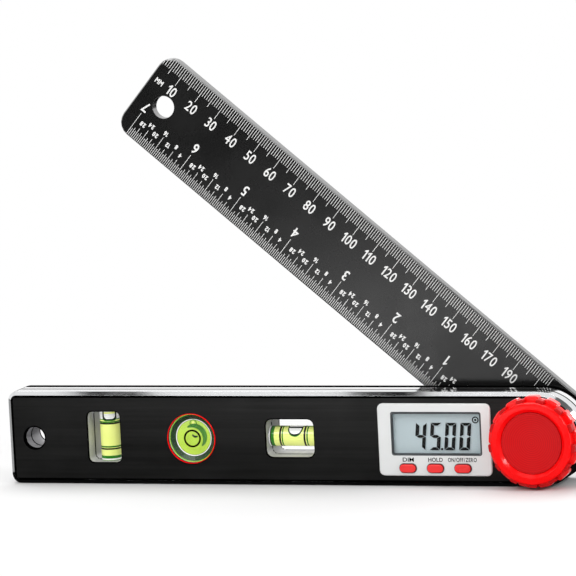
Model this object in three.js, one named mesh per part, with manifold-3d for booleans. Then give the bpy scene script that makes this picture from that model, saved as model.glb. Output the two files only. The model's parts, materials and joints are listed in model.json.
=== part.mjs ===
// A digital angle finder: a layered block body that holds two tube vials, a round vial, a display with
// three buttons and the pivot, and a ruler arm that swings behind the body.
// Millimetres. X runs along the body, Y from its face to its back, Z up.
// The origin lies on the body's underside, half way along it and half way through it.

import * as THREE from "three";
import { mergeVertices } from "three/addons/utils/BufferGeometryUtils.js";
import Module from "manifold-3d";

const wasm = await Module();
wasm.setup();

// Driving sizes of the body
const bodyLength = 230;
const bodyHeight = 36;
const bodyDepth = 17;
const cornerRadius = 3.6;
const bevel = 1.4;
const wall = 2.2;
const frontWall = 2.2;
const splitDepth = 7.3;
const coverThickness = 4;
const coverChamfer = 0.6;
const rearFloor = 1.2;
const collarWall = 1.6;
const collarSink = 0.2;

// Clearances
const overrun = 1;
const seam = 0.2;
const seatGap = 0.15;
const runningGap = 0.15;
const glueGap = 0.05;
const pressGap = 0.2;

// Face plate
const plateThickness = 0.5;
const plateRim = 0.25;
const plateChamfer = 0.45;

// Hang hole in the body
const hangHoleRadius = 4.2;
const hangHoleInset = 10.6;

// Windows, each with its tube vial
const plumbFrame = { width: 13.1, margin: 8.2, radius: 1.9, lift: 0.4 };
const levelWindow = { width: 19, height: 14.5, radius: 2.4, lift: 0.2 };
const vialRadius = 3.9;
const vialSeat = 3.4;
const plugThickness = 1.2;
const plugLip = 0.25;

// Round vial
const ringRadius = 9.7;
const ringHeight = 0.6;
const ringLip = 0.5;
const ringDepth = 3;
const ringWall = 0.55;
const bullseyeDepth = 6.3;
const bullseyeDome = 0.7;
const bullseyeCollar = 1.6;
const domeSteps = 3;

// Display
const bezelWidth = 44.3;
const bezelMargin = 4.2;
const bezelRadius = 2;
const bezelRise = 0.7;
const bezelChamfer = 0.35;
const bezelPlug = { sideInset: 1.85, endInset: 0.6, radius: 1, depth: 3.2 };
const screenWindow = { border: 4.8, topBorder: 3.7, buttonBand: 8.1, radius: 0.8, shift: 0.65 };
const screenTaper = 0.45;
const lensLap = 0.7;
const lensThickness = 0.8;
const screenLap = 1.1;
const screenThickness = 1.8;
const board = { sideLap: 3.2, endLap: 0.3, radius: 1, depth: 5.4, thickness: 1.2 };
const boardPost = { radius: 1.5, sideInset: 1.4, endInset: 3.5 };
const zebraWidth = 1.5;
const chip = { radius: 4, height: 1, inset: 8.5 };

// Buttons
const buttonWidth = 6.5;
const buttonHeight = 3.3;
const buttonPitch = 10.8;
const buttonInset = 2.93;
const buttonRise = 1;
const buttonTravel = 0.7;
const buttonTab = { reach: 0.8, depth: 1.1, thickness: 0.7, radius: 0.4 };
const buttonCrown = 0.45;
const buttonRoundShare = 0.48;
const pressSwitch = { width: 4.2, height: 3, depth: 4.2, plungerRadius: 1, plungerHeight: 0.3 };

// Battery
const cell = { radius: 10, thickness: 3.2, inset: 4.2, step: 1.2, stepHeight: 0.3, room: 0.35 };
const pocketWall = 1.4;
const pocketLedge = 1.4;
const capRadius = 12.3;
const capThickness = 2;
const capSink = 0.15;
const capBossInset = 0.6;
const capLug = { reach: 1, thickness: 0.8, halfAngle: 8, entryHalfAngle: 10 };
const capTurn = 60;
const coinSlot = { length: 13, width: 1.7, depth: 1 };
const contact = { thickness: 0.3, width: 3.6, foot: 2.2, reach: 6, tip: 4.5 };

// Pivot
const boltRadius = 3;
const boltTip = 0.5;
const bushWall = 1.85;
const bushFlange = { radius: 7.5, thickness: 0.5 };
const hubWall = 2.9;
const rotor = { radius: 12.5, thickness: 1, depth: 7.6, hubRadius: 4.9, hubLap: 0.5 };
const stator = { radius: 13, thickness: 1.2, gap: 0.8 };
const ribbon = { thickness: 0.3, width: 6, lap: 3.5 };
const frictionWasher = { radius: 15, thickness: 0.6 };
const knobWasher = { radius: 10, thickness: 0.45 };

// Lock knob
const knobHeight = 9;
const knobLift = 0.6;
const knobFaceRadius = 15.5;
const knobGripRadius = 17.4;
const knobNotch = 1.1;
const knobShoulder = 4;
const knobSkin = 1.8;
const knobRoof = 1.6;
const knobBossWall = 1.6;
const knobRib = 1;
const knobRibs = 6;
const knobLugs = 13;
const knobLugShare = 0.66;
const knobFirstLug = 90;
const knobTab = { drop: 0.6, front: 1, lap: 0.8 };
const knobEdge = 0.5;
const knobFlare = 1.2;
const knobCap = { radius: 11.6, thickness: 1, sink: 1.2, dish: 0.25, rim: 1.2 };
const insertWall = 1.4;

// Arm
const armLength = 205.4;
const armThickness = 4.5;
const armChamfer = 0.5;
const armCorner = 6;
const armGap = 0.15;
const armHoleRadius = 4.35;
const armHoleInset = 11.3;
const boltHead = { radius: 7.5, thickness: 1.9, dome: 0.6 };
const boltNeck = 7;
const openAngle = 40.4;

// Case screws
const screwRadius = 1.1;
const screwTipDepth = 3.4;
const screwPoint = 0.8;
const screwHead = { radius: 2.3, height: 1.3 };
const screwCross = { length: 2.6, width: 0.5, depth: 0.6 };
const bossWall = 1.5;
const screwRowInset = 5.6;

// Places along the body, as shares of its run from the left end to the display
const plumbShare = 0.262;
const bullseyeShare = 0.5;
const levelShare = 0.764;
const screwShares = [0.16, 0.633, 0.915];

// Facets
const roundSteps = 30;
const endSteps = 5;
const cornerSteps = 3;
const sectorSteps = 2;
const fineSides = 32;
const sides = 20;
const smallSides = 8;
const mergeTolerance = 1e-4;

// Places that follow from the driving sizes. Depths are counted from the body's face to its back.
const middle = bodyHeight / 2;
const leftEnd = -bodyLength / 2;
const pivotX = bodyLength / 2 - bodyHeight / 2;
const faceY = -bodyDepth / 2;
const plateRecess = plateThickness + 2 * glueGap;
const frontShellBack = splitDepth - seam / 2;
const rearShellFront = splitDepth + seam / 2;
const coverFront = bodyDepth - coverThickness;
const rearShellBack = coverFront - seam;
const floorFront = rearShellBack - rearFloor;
const displayX = pivotX - knobGripRadius - pressGap - bezelWidth / 2;
const plumbWindow = { ...plumbFrame, height: bodyHeight - 2 * plumbFrame.margin };
const bezelHeight = bodyHeight - 2 * bezelMargin;
const bezel = { width: bezelWidth, height: bezelHeight, radius: bezelRadius };
const bezelStep = {
  width: bezelWidth - 2 * bezelPlug.sideInset,
  height: bezelHeight - 2 * bezelPlug.endInset,
  radius: bezelPlug.radius,
};
const screen = {
  width: bezelWidth - 2 * screenWindow.border,
  height: bezelHeight - screenWindow.topBorder - screenWindow.buttonBand,
  radius: screenWindow.radius,
};
const boardPlan = {
  width: bezelStep.width + 2 * board.sideLap,
  height: bezelStep.height + 2 * board.endLap,
  radius: board.radius,
};
const viewRun = displayX - bezelWidth / 2 - leftEnd;
const hangHoleX = leftEnd + hangHoleInset;
const plumbX = leftEnd + plumbShare * viewRun;
const bullseyeX = leftEnd + bullseyeShare * viewRun;
const levelX = leftEnd + levelShare * viewRun;
const sleeveRadius = ringRadius - ringLip;
const bullseyeRadius = sleeveRadius - ringWall;
const screenX = displayX + screenWindow.shift;
const screenZ = middle + (screenWindow.buttonBand - screenWindow.topBorder) / 2;
const lensDepth = screenTaper + glueGap;
const screenDepth = lensDepth + lensThickness + seatGap;
const screenBack = screenDepth + screenThickness;
const boardBack = board.depth + board.thickness;
const buttonZ = middle - bezelHeight / 2 + buttonInset;
const buttonX = { dim: displayX - buttonPitch, hold: displayX, zero: displayX + buttonPitch };
const plungerDepth = pressSwitch.depth - pressSwitch.plungerHeight;
const cellBack = bodyDepth - cell.inset;
const cellFront = cellBack - cell.thickness;
const capBack = bodyDepth - capSink;
const capFront = capBack - capThickness;
const boreRadius = boltRadius + runningGap;
const bushRadius = boreRadius + bushWall;
const hubRadius = bushRadius + seatGap + hubWall;
const hubBack = rotor.depth - rotor.hubLap - seam;
const rotorBack = rotor.depth + rotor.thickness;
const statorFront = rotorBack + stator.gap;
const statorBack = statorFront + stator.thickness;
const armWidth = bodyHeight;
const washerFront = bodyDepth + glueGap;
const armFront = washerFront + frictionWasher.thickness + armGap;
const armBack = armFront + armThickness;
const headBack = armBack - glueGap;
const headFront = headBack - boltHead.thickness;
const knobFace = -knobHeight;
const knobBack = -knobLift;
const knobBaseRadius = knobGripRadius - knobNotch;
const knobCapFront = knobFace + knobCap.sink;
const knobSeat = knobCapFront + knobCap.thickness + glueGap;
const knobRoofBack = knobSeat + knobRoof;
const insertRadius = boreRadius + insertWall;
const insertFront = knobRoofBack + seatGap;

// Materials
const finish = (color, roughness, metalness) =>
  new THREE.MeshStandardMaterial({ color, roughness, metalness });
const polishedMetal = finish(0xc9cbcd, 0.18, 1);
const blackSheet = finish(0x202020, 0.45, 0.4);
const blackPlastic = finish(0x161616, 0.55, 0);
const paleGrey = finish(0xdcdcdc, 0.4, 0);
const redPlastic = finish(0xe8121a, 0.35, 0);
const darkRed = finish(0xc8141c, 0.4, 0);
const clearPlastic = finish(0xf2f4f2, 0.08, 0);
const vialGreen = finish(0xdcf05a, 0.1, 0);
const screenGrey = finish(0xa9b8bc, 0.3, 0);
const boardGreen = finish(0x1d6a3a, 0.5, 0);
const rubberBlack = finish(0x101010, 0.8, 0);
const whitePlastic = finish(0xe8e8e4, 0.5, 0);
const steel = finish(0xb8b8b8, 0.3, 1);
const brass = finish(0xc8a24a, 0.35, 1);
const amberFilm = finish(0xb87840, 0.4, 0);

// Joins and cuts

function solidOf(geometry) {
  const bare = geometry.index ? geometry.toNonIndexed() : geometry.clone();
  bare.deleteAttribute("normal");
  bare.deleteAttribute("uv");
  const merged = mergeVertices(bare, mergeTolerance);
  return new wasm.Manifold(
    new wasm.Mesh({
      numProp: 3,
      vertProperties: merged.attributes.position.array,
      triVerts: new Uint32Array(merged.index.array),
    }),
  );
}

function geometryOf(solid) {
  const mesh = solid.getMesh();
  const positions = new THREE.BufferAttribute(new Float32Array(mesh.vertProperties), 3);
  const geometry = new THREE.BufferGeometry().setAttribute("position", positions);
  geometry.setIndex(new THREE.BufferAttribute(new Uint32Array(mesh.triVerts), 1));
  geometry.computeVertexNormals();
  return geometry;
}

function join(first, ...others) {
  return geometryOf(others.reduce((sum, other) => sum.add(solidOf(other)), solidOf(first)));
}

function cut(base, ...tools) {
  return geometryOf(tools.reduce((rest, tool) => rest.subtract(solidOf(tool)), solidOf(base)));
}

// Outlines in X and Z, counter-clockwise as seen from the front

function arc(x, z, radius, from, to, steps) {
  const points = [];
  for (let i = 0; i <= steps; i++) {
    const angle = THREE.MathUtils.degToRad(from + ((to - from) * i) / steps);
    points.push(new THREE.Vector2(x + radius * Math.cos(angle), z + radius * Math.sin(angle)));
  }
  return points;
}

// A bar with a full round at its right end, about a pivot, and two small corners at its left end
function barOutline(x, z, halfHeight, left, corner) {
  return [
    ...arc(x, z, halfHeight, -90, 90, roundSteps),
    ...arc(left + corner, z + halfHeight - corner, corner, 90, 180, endSteps),
    ...arc(left + corner, z - halfHeight + corner, corner, 180, 270, endSteps),
  ];
}

function bodyOutline(inset) {
  const corner = cornerRadius - Math.min(inset, cornerRadius / 2);
  return barOutline(pivotX, middle, middle - inset, leftEnd + inset, corner);
}

// The arm lies along -X from its pivot, which is the origin of its own frame
function armOutline(inset) {
  return barOutline(0, 0, armWidth / 2 - inset, inset - armLength, armCorner - inset);
}

function roundedRectangle({ width, height, radius }, grow, x, z) {
  const corner = Math.max(radius + grow, radius / 2);
  const dx = width / 2 + grow - corner;
  const dz = height / 2 + grow - corner;
  return [
    ...arc(x + dx, z - dz, corner, -90, 0, cornerSteps),
    ...arc(x + dx, z + dz, corner, 0, 90, cornerSteps),
    ...arc(x - dx, z + dz, corner, 90, 180, cornerSteps),
    ...arc(x - dx, z - dz, corner, 180, 270, cornerSteps),
  ];
}

function windowOutline(window, x, grow) {
  return roundedRectangle(window, grow, x, middle + window.lift);
}

function sectorOutline(inner, outer, centre, halfAngle, x, z) {
  const from = centre - halfAngle;
  const to = centre + halfAngle;
  return [...arc(x, z, outer, from, to, sectorSteps), ...arc(x, z, inner, to, from, sectorSteps)];
}

// Solids

// A closed solid through outlines of equally many points, each at its own depth
function loft(sections) {
  const count = sections[0].outline.length;
  const positions = sections.flatMap(({ depth, outline }) =>
    outline.flatMap((point) => [point.x, faceY + depth, point.y]),
  );
  const index = [];
  for (let s = 0; s < sections.length - 1; s++) {
    for (let k = 0; k < count; k++) {
      const a = s * count + k;
      const b = s * count + ((k + 1) % count);
      index.push(a, b + count, b, a, a + count, b + count);
    }
  }
  const last = (sections.length - 1) * count;
  for (const [a, b, c] of THREE.ShapeUtils.triangulateShape(sections[0].outline, [])) {
    index.push(a, b, c);
  }
  for (const [a, b, c] of THREE.ShapeUtils.triangulateShape(sections.at(-1).outline, [])) {
    index.push(last + a, last + c, last + b);
  }
  const geometry = new THREE.BufferGeometry();
  geometry.setAttribute("position", new THREE.Float32BufferAttribute(positions, 3));
  geometry.setIndex(index);
  geometry.computeVertexNormals();
  return geometry;
}

function slab(outline, front, back) {
  return loft([
    { depth: front, outline },
    { depth: back, outline },
  ]);
}

// A round bar along Y between two depths
function rod(radius, front, back, x, z, sideCount = sides) {
  const bar = new THREE.CylinderGeometry(radius, radius, back - front, sideCount);
  return bar.translate(x, faceY + (front + back) / 2, z);
}

// A solid of revolution about a line along Y. The profile holds pairs of radius and depth, from the front to
// the back along the outside and from the back to the front along the inside.
function turned(profile, x, z, sideCount = sides) {
  const points = profile.map(([radius, depth]) => new THREE.Vector2(radius, faceY + depth));
  return new THREE.LatheGeometry(points, sideCount).translate(x, 0, z);
}

function ring(inner, outer, front, back, x, z, sideCount = sides) {
  const profile = [
    [inner, front],
    [outer, front],
    [outer, back],
    [inner, back],
    [inner, front],
  ];
  return turned(profile, x, z, sideCount);
}

function block(width, height, front, back, x, z) {
  const box = new THREE.BoxGeometry(width, back - front, height);
  return box.translate(x, faceY + (front + back) / 2, z);
}

// Round bars that lie in the plane between the two shells
function uprightBar(radius, length, x, z) {
  const bar = new THREE.CylinderGeometry(radius, radius, length, sides).rotateX(Math.PI / 2);
  return bar.translate(x, faceY + splitDepth, z);
}

function levelBar(radius, length, x, z) {
  const bar = new THREE.CylinderGeometry(radius, radius, length, sides).rotateZ(Math.PI / 2);
  return bar.translate(x, faceY + splitDepth, z);
}

// A bent strip: a line of X and depth, given a thickness and drawn out along Z
function bentStrip(line, { thickness, width }, z) {
  const edges = [1, -1].map((side) =>
    line.map(([x, depth], i) => {
      const before = line[Math.max(i - 1, 0)];
      const after = line[Math.min(i + 1, line.length - 1)];
      const along = new THREE.Vector2(after[0] - before[0], after[1] - before[1]).normalize();
      const reach = (side * thickness) / 2;
      return new THREE.Vector2(x - along.y * reach, depth + along.x * reach);
    }),
  );
  const shape = new THREE.Shape([...edges[0], ...edges[1].reverse()]);
  const strip = new THREE.ExtrudeGeometry(shape, { depth: width, bevelEnabled: false });
  return strip.translate(0, faceY, z - width / 2);
}

// Places that several pieces share

const screwRows = [screwRowInset, bodyHeight - screwRowInset];
const screwPlaces = screwShares.flatMap((share) => screwRows.map((z) => [leftEnd + share * viewRun, z]));

const postX = boardPlan.width / 2 - boardPost.sideInset;
const postZ = boardPlan.height / 2 - boardPost.endInset;
const boardPostPlaces = [-1, 1].flatMap((sx) =>
  [-1, 1].map((sz) => [displayX + sx * postX, middle + sz * postZ]),
);

const plumbZ = middle + plumbWindow.lift;
const plumbLength = plumbWindow.height + 2 * vialSeat;
const levelLength = levelWindow.width + 2 * vialSeat;

// The notches that both shells have for the two tube vials
function vialNotches() {
  const room = vialRadius + seatGap;
  return [
    uprightBar(room, plumbLength, plumbX, plumbZ),
    levelBar(room, levelLength, levelX, middle),
  ];
}

// The openings that run through every layer of the body
function throughOpenings(grow, front, back) {
  return [
    rod(hangHoleRadius + grow, front, back, hangHoleX, middle, fineSides),
    slab(windowOutline(plumbWindow, plumbX, grow), front, back),
    slab(windowOutline(levelWindow, levelX, grow), front, back),
  ];
}

const screwBores = (radius, front, back) =>
  screwPlaces.map(([x, z]) => rod(radius, front, back, x, z, smallSides));

// Body

function frontShell() {
  const outer = loft([
    { depth: 0, outline: bodyOutline(bevel) },
    { depth: bevel, outline: bodyOutline(0) },
    { depth: frontShellBack, outline: bodyOutline(0) },
  ]);
  const back = frontShellBack + overrun;
  const posts = [
    ...throughOpenings(collarWall, 0, back + overrun),
    rod(sleeveRadius + seatGap + bullseyeCollar, 0, back + overrun, bullseyeX, middle),
    rod(hubRadius, 0, hubBack, pivotX, middle),
    ...screwBores(screwRadius + bossWall, 0, back + overrun),
    ...boardPostPlaces.map(([x, z]) => rod(boardPost.radius, 0, board.depth - glueGap, x, z, smallSides)),
  ];
  const room = cut(slab(bodyOutline(wall), frontWall, back), ...posts);
  const bullseyePocket = turned(
    [
      [0, -overrun],
      [sleeveRadius + seatGap, -overrun],
      [sleeveRadius + seatGap, ringDepth + seatGap],
      [bullseyeRadius, ringDepth + seatGap],
      [bullseyeRadius, bullseyeDepth + glueGap],
      [0, bullseyeDepth + glueGap],
    ],
    bullseyeX,
    middle,
    fineSides,
  );
  return cut(
    outer,
    room,
    slab(bodyOutline(bevel + plateRim), -overrun, plateRecess),
    ...throughOpenings(0, -overrun, back),
    bullseyePocket,
    slab(roundedRectangle(bezelStep, seatGap, displayX, middle), -overrun, frontWall + overrun),
    rod(bushRadius + seatGap, -overrun, back, pivotX, middle),
    ...screwBores(screwRadius + seatGap, screwTipDepth - seatGap, back),
    ...vialNotches(),
  );
}

function facePlate() {
  const inset = bevel + plateRim + seatGap;
  const front = glueGap;
  const back = glueGap + plateThickness;
  const plate = slab(bodyOutline(inset), front, back);
  const taperedWindow = (window, x) =>
    loft([
      { depth: front - overrun, outline: windowOutline(window, x, plateChamfer) },
      { depth: front, outline: windowOutline(window, x, plateChamfer) },
      { depth: back, outline: windowOutline(window, x, 0) },
      { depth: back + overrun, outline: windowOutline(window, x, 0) },
    ]);
  const taperedHole = turned(
    [
      [0, front - overrun],
      [hangHoleRadius + plateChamfer, front - overrun],
      [hangHoleRadius + plateChamfer, front],
      [hangHoleRadius, back],
      [hangHoleRadius, back + overrun],
      [0, back + overrun],
    ],
    hangHoleX,
    middle,
    fineSides,
  );
  const bezelHole = roundedRectangle(bezel, seatGap / 2, displayX, middle);
  return cut(
    plate,
    taperedHole,
    taperedWindow(plumbWindow, plumbX),
    taperedWindow(levelWindow, levelX),
    rod(sleeveRadius + seatGap, front - overrun, back + overrun, bullseyeX, middle, fineSides),
    slab(bezelHole, front - overrun, back + overrun),
    rod(bushFlange.radius + seatGap, front - overrun, back + overrun, pivotX, middle),
  );
}

function rearShell() {
  const outer = slab(bodyOutline(0), rearShellFront, rearShellBack);
  const collars = throughOpenings(collarWall, rearShellBack - rearFloor / 2, bodyDepth - collarSink);
  const front = rearShellFront - overrun;
  const back = rearShellBack + overrun;
  const pocketRadius = cell.radius + cell.room;
  const posts = [
    ...throughOpenings(collarWall, front - overrun, back),
    ...screwBores(screwRadius + bossWall, front - overrun, back),
    rod(pocketRadius + pocketWall, front - overrun, back, displayX, middle),
    rod(hubRadius, statorBack + glueGap, back, pivotX, middle),
  ];
  const room = cut(slab(bodyOutline(wall), front, floorFront), ...posts);
  return cut(
    join(outer, ...collars),
    room,
    ...throughOpenings(0, front, bodyDepth + overrun),
    ...screwBores(screwRadius + seatGap, front, back),
    rod(pocketRadius, cellFront - glueGap, back, displayX, middle, fineSides),
    rod(pocketRadius - pocketLedge, front, back, displayX, middle),
    block(
      2 * (pocketWall + overrun),
      contact.width + 2 * seatGap,
      front,
      floorFront,
      displayX + pocketRadius,
      middle,
    ),
    rod(bushRadius + seatGap, front, back, pivotX, middle),
    ...vialNotches(),
  );
}

function rearCover() {
  const outer = loft([
    { depth: coverFront, outline: bodyOutline(0) },
    { depth: bodyDepth - coverChamfer, outline: bodyOutline(0) },
    { depth: bodyDepth, outline: bodyOutline(coverChamfer) },
  ]);
  const front = coverFront - overrun;
  const back = bodyDepth + overrun;
  const mouth = capRadius + runningGap;
  const lugRoom = capRadius + capLug.reach + runningGap;
  const lugBack = capFront + capLug.thickness + runningGap;
  const entries = [0, 180].map((side) => {
    const at = side - capTurn;
    const entry = sectorOutline(capRadius - overrun, lugRoom, at, capLug.entryHalfAngle, displayX, middle);
    return slab(entry, front, back);
  });
  const countersinks = screwPlaces.map(([x, z]) =>
    turned(
      [
        [0, bodyDepth - screwHead.height - seatGap],
        [screwRadius + seatGap, bodyDepth - screwHead.height - seatGap],
        [screwHead.radius + seatGap, bodyDepth - glueGap],
        [screwHead.radius + seatGap, back],
        [0, back],
      ],
      x,
      z,
      smallSides,
    ),
  );
  return cut(
    outer,
    ...throughOpenings(collarWall + seatGap, front, back),
    ...screwBores(screwRadius + seatGap, front, back),
    ...countersinks,
    rod(mouth, front, back, displayX, middle, fineSides),
    rod(lugRoom, front, lugBack, displayX, middle, fineSides),
    ...entries,
    rod(bushRadius + seatGap, front, back, pivotX, middle),
  );
}

function caseScrew(x, z) {
  const headFace = bodyDepth - glueGap;
  const screw = turned(
    [
      [0, screwTipDepth],
      [screwRadius / 2, screwTipDepth],
      [screwRadius, screwTipDepth + screwPoint],
      [screwRadius, headFace - screwHead.height],
      [screwHead.radius, headFace - glueGap],
      [screwHead.radius, headFace],
      [0, headFace],
    ],
    x,
    z,
    smallSides,
  );
  const slotFront = headFace - screwCross.depth;
  return cut(
    screw,
    block(screwCross.length, screwCross.width, slotFront, headFace + overrun, x, z),
    block(screwCross.width, screwCross.length, slotFront, headFace + overrun, x, z),
  );
}

// Vials

function bullseyeVial() {
  const radius = bullseyeRadius - seatGap;
  const rimDepth = bullseyeDome - ringHeight;
  const dome = [];
  for (let i = 0; i <= domeSteps; i++) {
    const share = i / domeSteps;
    dome.push([radius * share, rimDepth - bullseyeDome * (1 - share * share)]);
  }
  return turned([...dome, [radius, bullseyeDepth], [0, bullseyeDepth]], bullseyeX, middle, fineSides);
}

function bullseyeRing() {
  return turned(
    [
      [bullseyeRadius, -ringHeight],
      [ringRadius - ringHeight / 2, -ringHeight],
      [ringRadius, -ringHeight / 2],
      [ringRadius, 0],
      [sleeveRadius, 0],
      [sleeveRadius, ringDepth],
      [bullseyeRadius, ringDepth],
      [bullseyeRadius, -ringHeight],
    ],
    bullseyeX,
    middle,
    fineSides,
  );
}

// The plugs: a disc over each tube's end
const plugReach = glueGap + plugThickness / 2;

function plumbPlug() {
  return uprightBar(vialRadius + plugLip, plugThickness, plumbX, plumbZ + plumbLength / 2 + plugReach);
}

function levelPlug() {
  return levelBar(vialRadius + plugLip, plugThickness, levelX - levelLength / 2 - plugReach, middle);
}

// Display

function displayBezel() {
  const flange = loft([
    { depth: -bezelRise, outline: roundedRectangle(bezel, -bezelChamfer, displayX, middle) },
    { depth: bezelChamfer - bezelRise, outline: roundedRectangle(bezel, 0, displayX, middle) },
    { depth: plateRecess - glueGap, outline: roundedRectangle(bezel, 0, displayX, middle) },
  ]);
  const plug = slab(roundedRectangle(bezelStep, 0, displayX, middle), 0, bezelPlug.depth);
  const back = bezelPlug.depth + overrun;
  const front = -bezelRise - overrun;
  const opening = loft([
    { depth: front, outline: roundedRectangle(screen, 0, screenX, screenZ) },
    { depth: -bezelRise, outline: roundedRectangle(screen, 0, screenX, screenZ) },
    { depth: screenTaper, outline: roundedRectangle(screen, -screenTaper, screenX, screenZ) },
    { depth: back, outline: roundedRectangle(screen, -screenTaper, screenX, screenZ) },
  ]);
  const lensRoom = roundedRectangle(screen, lensLap + seatGap, screenX, screenZ);
  const screenRoom = roundedRectangle(screen, screenLap + seatGap, screenX, screenZ);
  const buttonRooms = Object.values(buttonX).flatMap((x) => [
    slab(buttonOutline(seatGap, x), front, back),
    slab(tabOutline(seatGap, x), buttonTab.depth - glueGap, back),
  ]);
  return cut(
    join(flange, plug),
    opening,
    slab(lensRoom, lensDepth - glueGap, back),
    slab(screenRoom, screenDepth - glueGap, back),
    ...buttonRooms,
  );
}

function displayLens() {
  return slab(
    roundedRectangle(screen, lensLap, screenX, screenZ),
    lensDepth,
    lensDepth + lensThickness,
  );
}

function lcdPanel() {
  return slab(roundedRectangle(screen, screenLap, screenX, screenZ), screenDepth, screenBack);
}

function zebraStrip(side) {
  const reach = screen.height / 2 + screenLap - zebraWidth / 2;
  return block(
    screen.width,
    zebraWidth,
    screenBack + glueGap,
    board.depth - glueGap,
    screenX,
    screenZ + side * reach,
  );
}

function circuitBoard() {
  return slab(roundedRectangle(boardPlan, 0, displayX, middle), board.depth, boardBack);
}

function controllerChip() {
  const front = boardBack + glueGap;
  const profile = [
    [0, front],
    [chip.radius, front],
    [chip.radius / 2, front + chip.height],
    [0, front + chip.height],
  ];
  return turned(profile, displayX - boardPlan.width / 2 + chip.inset, middle);
}

// Buttons

function buttonOutline(grow, x) {
  const button = { width: buttonWidth, height: buttonHeight, radius: buttonRoundShare * buttonHeight };
  return roundedRectangle(button, grow, x, buttonZ);
}

function tabOutline(grow, x) {
  const width = buttonWidth + 2 * buttonTab.reach;
  return roundedRectangle({ width, height: buttonHeight, radius: buttonTab.radius }, grow, x, buttonZ);
}

function button(x) {
  const top = -bezelRise - buttonRise;
  const stemBack = plungerDepth - buttonTravel - pressGap;
  const cap = loft([
    { depth: top, outline: buttonOutline(-buttonCrown, x) },
    { depth: top + buttonCrown / 2, outline: buttonOutline(-buttonCrown / 4, x) },
    { depth: top + buttonCrown, outline: buttonOutline(0, x) },
    { depth: stemBack, outline: buttonOutline(0, x) },
  ]);
  return join(cap, slab(tabOutline(0, x), buttonTab.depth, buttonTab.depth + buttonTab.thickness));
}

function pressSwitchBody(x) {
  return join(
    block(pressSwitch.width, pressSwitch.height, pressSwitch.depth, board.depth - glueGap, x, buttonZ),
    rod(pressSwitch.plungerRadius, plungerDepth, pressSwitch.depth + glueGap, x, buttonZ, smallSides),
  );
}

// Battery

function coinCell() {
  return turned(
    [
      [0, cellFront],
      [cell.radius - cell.step, cellFront],
      [cell.radius - cell.step, cellFront + cell.stepHeight],
      [cell.radius, cellFront + cell.stepHeight],
      [cell.radius, cellBack],
      [0, cellBack],
    ],
    displayX,
    middle,
  );
}

function batteryContactMinus() {
  const rest = boardBack + glueGap + contact.thickness / 2;
  const line = [
    [displayX - contact.reach, rest],
    [displayX, rest],
    [displayX + contact.tip, cellFront - contact.thickness - glueGap],
  ];
  return bentStrip(line, contact, middle);
}

function batteryContactPlus() {
  const rest = boardBack + glueGap + contact.thickness / 2;
  const side = displayX + cell.radius + cell.room;
  const line = [
    [side + contact.foot, rest],
    [side, rest],
    [side, floorFront - seatGap],
  ];
  return bentStrip(line, contact, middle);
}

function batteryCap() {
  const disc = rod(capRadius, capFront, capBack, displayX, middle, fineSides);
  const boss = rod(cell.radius - capBossInset, cellBack + seatGap, capFront + glueGap, displayX, middle);
  const lugs = [0, 180].map((side) =>
    slab(
      sectorOutline(capRadius - overrun, capRadius + capLug.reach, side, capLug.halfAngle, displayX, middle),
      capFront,
      capFront + capLug.thickness,
    ),
  );
  const slotFront = capBack - coinSlot.depth;
  const slot = block(coinSlot.length, coinSlot.width, slotFront, capBack + overrun, displayX, middle);
  return cut(join(disc, boss, ...lugs), slot);
}

// Pivot, fixed in the body

function frontBush() {
  const flangeFront = glueGap;
  const flangeBack = glueGap + bushFlange.thickness;
  const profile = [
    [boreRadius, flangeFront],
    [bushFlange.radius, flangeFront],
    [bushFlange.radius, flangeBack],
    [bushRadius, flangeBack],
    [bushRadius, hubBack],
    [boreRadius, hubBack],
    [boreRadius, flangeFront],
  ];
  return turned(profile, pivotX, middle);
}

function rearBush() {
  return ring(boreRadius, bushRadius, statorBack + seam, bodyDepth, pivotX, middle);
}

function encoderStator() {
  const inner = rotor.hubRadius + rotor.hubLap;
  return ring(inner, stator.radius, statorFront, statorBack, pivotX, middle);
}

function sensorRibbon() {
  const boardEdge = displayX + boardPlan.width / 2;
  const statorEdge = pivotX - stator.radius;
  const onBoard = boardBack + glueGap + ribbon.thickness / 2;
  const onStator = statorBack + glueGap + ribbon.thickness / 2;
  const line = [
    [boardEdge - ribbon.lap, onBoard],
    [boardEdge, onBoard],
    [statorEdge - 2 * ribbon.thickness, onStator],
    [statorEdge + ribbon.lap, onStator],
  ];
  return bentStrip(line, ribbon, middle);
}

function washer({ radius, thickness }, front) {
  return ring(boreRadius, radius, front, front + thickness, pivotX, middle);
}

// Lock knob

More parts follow.
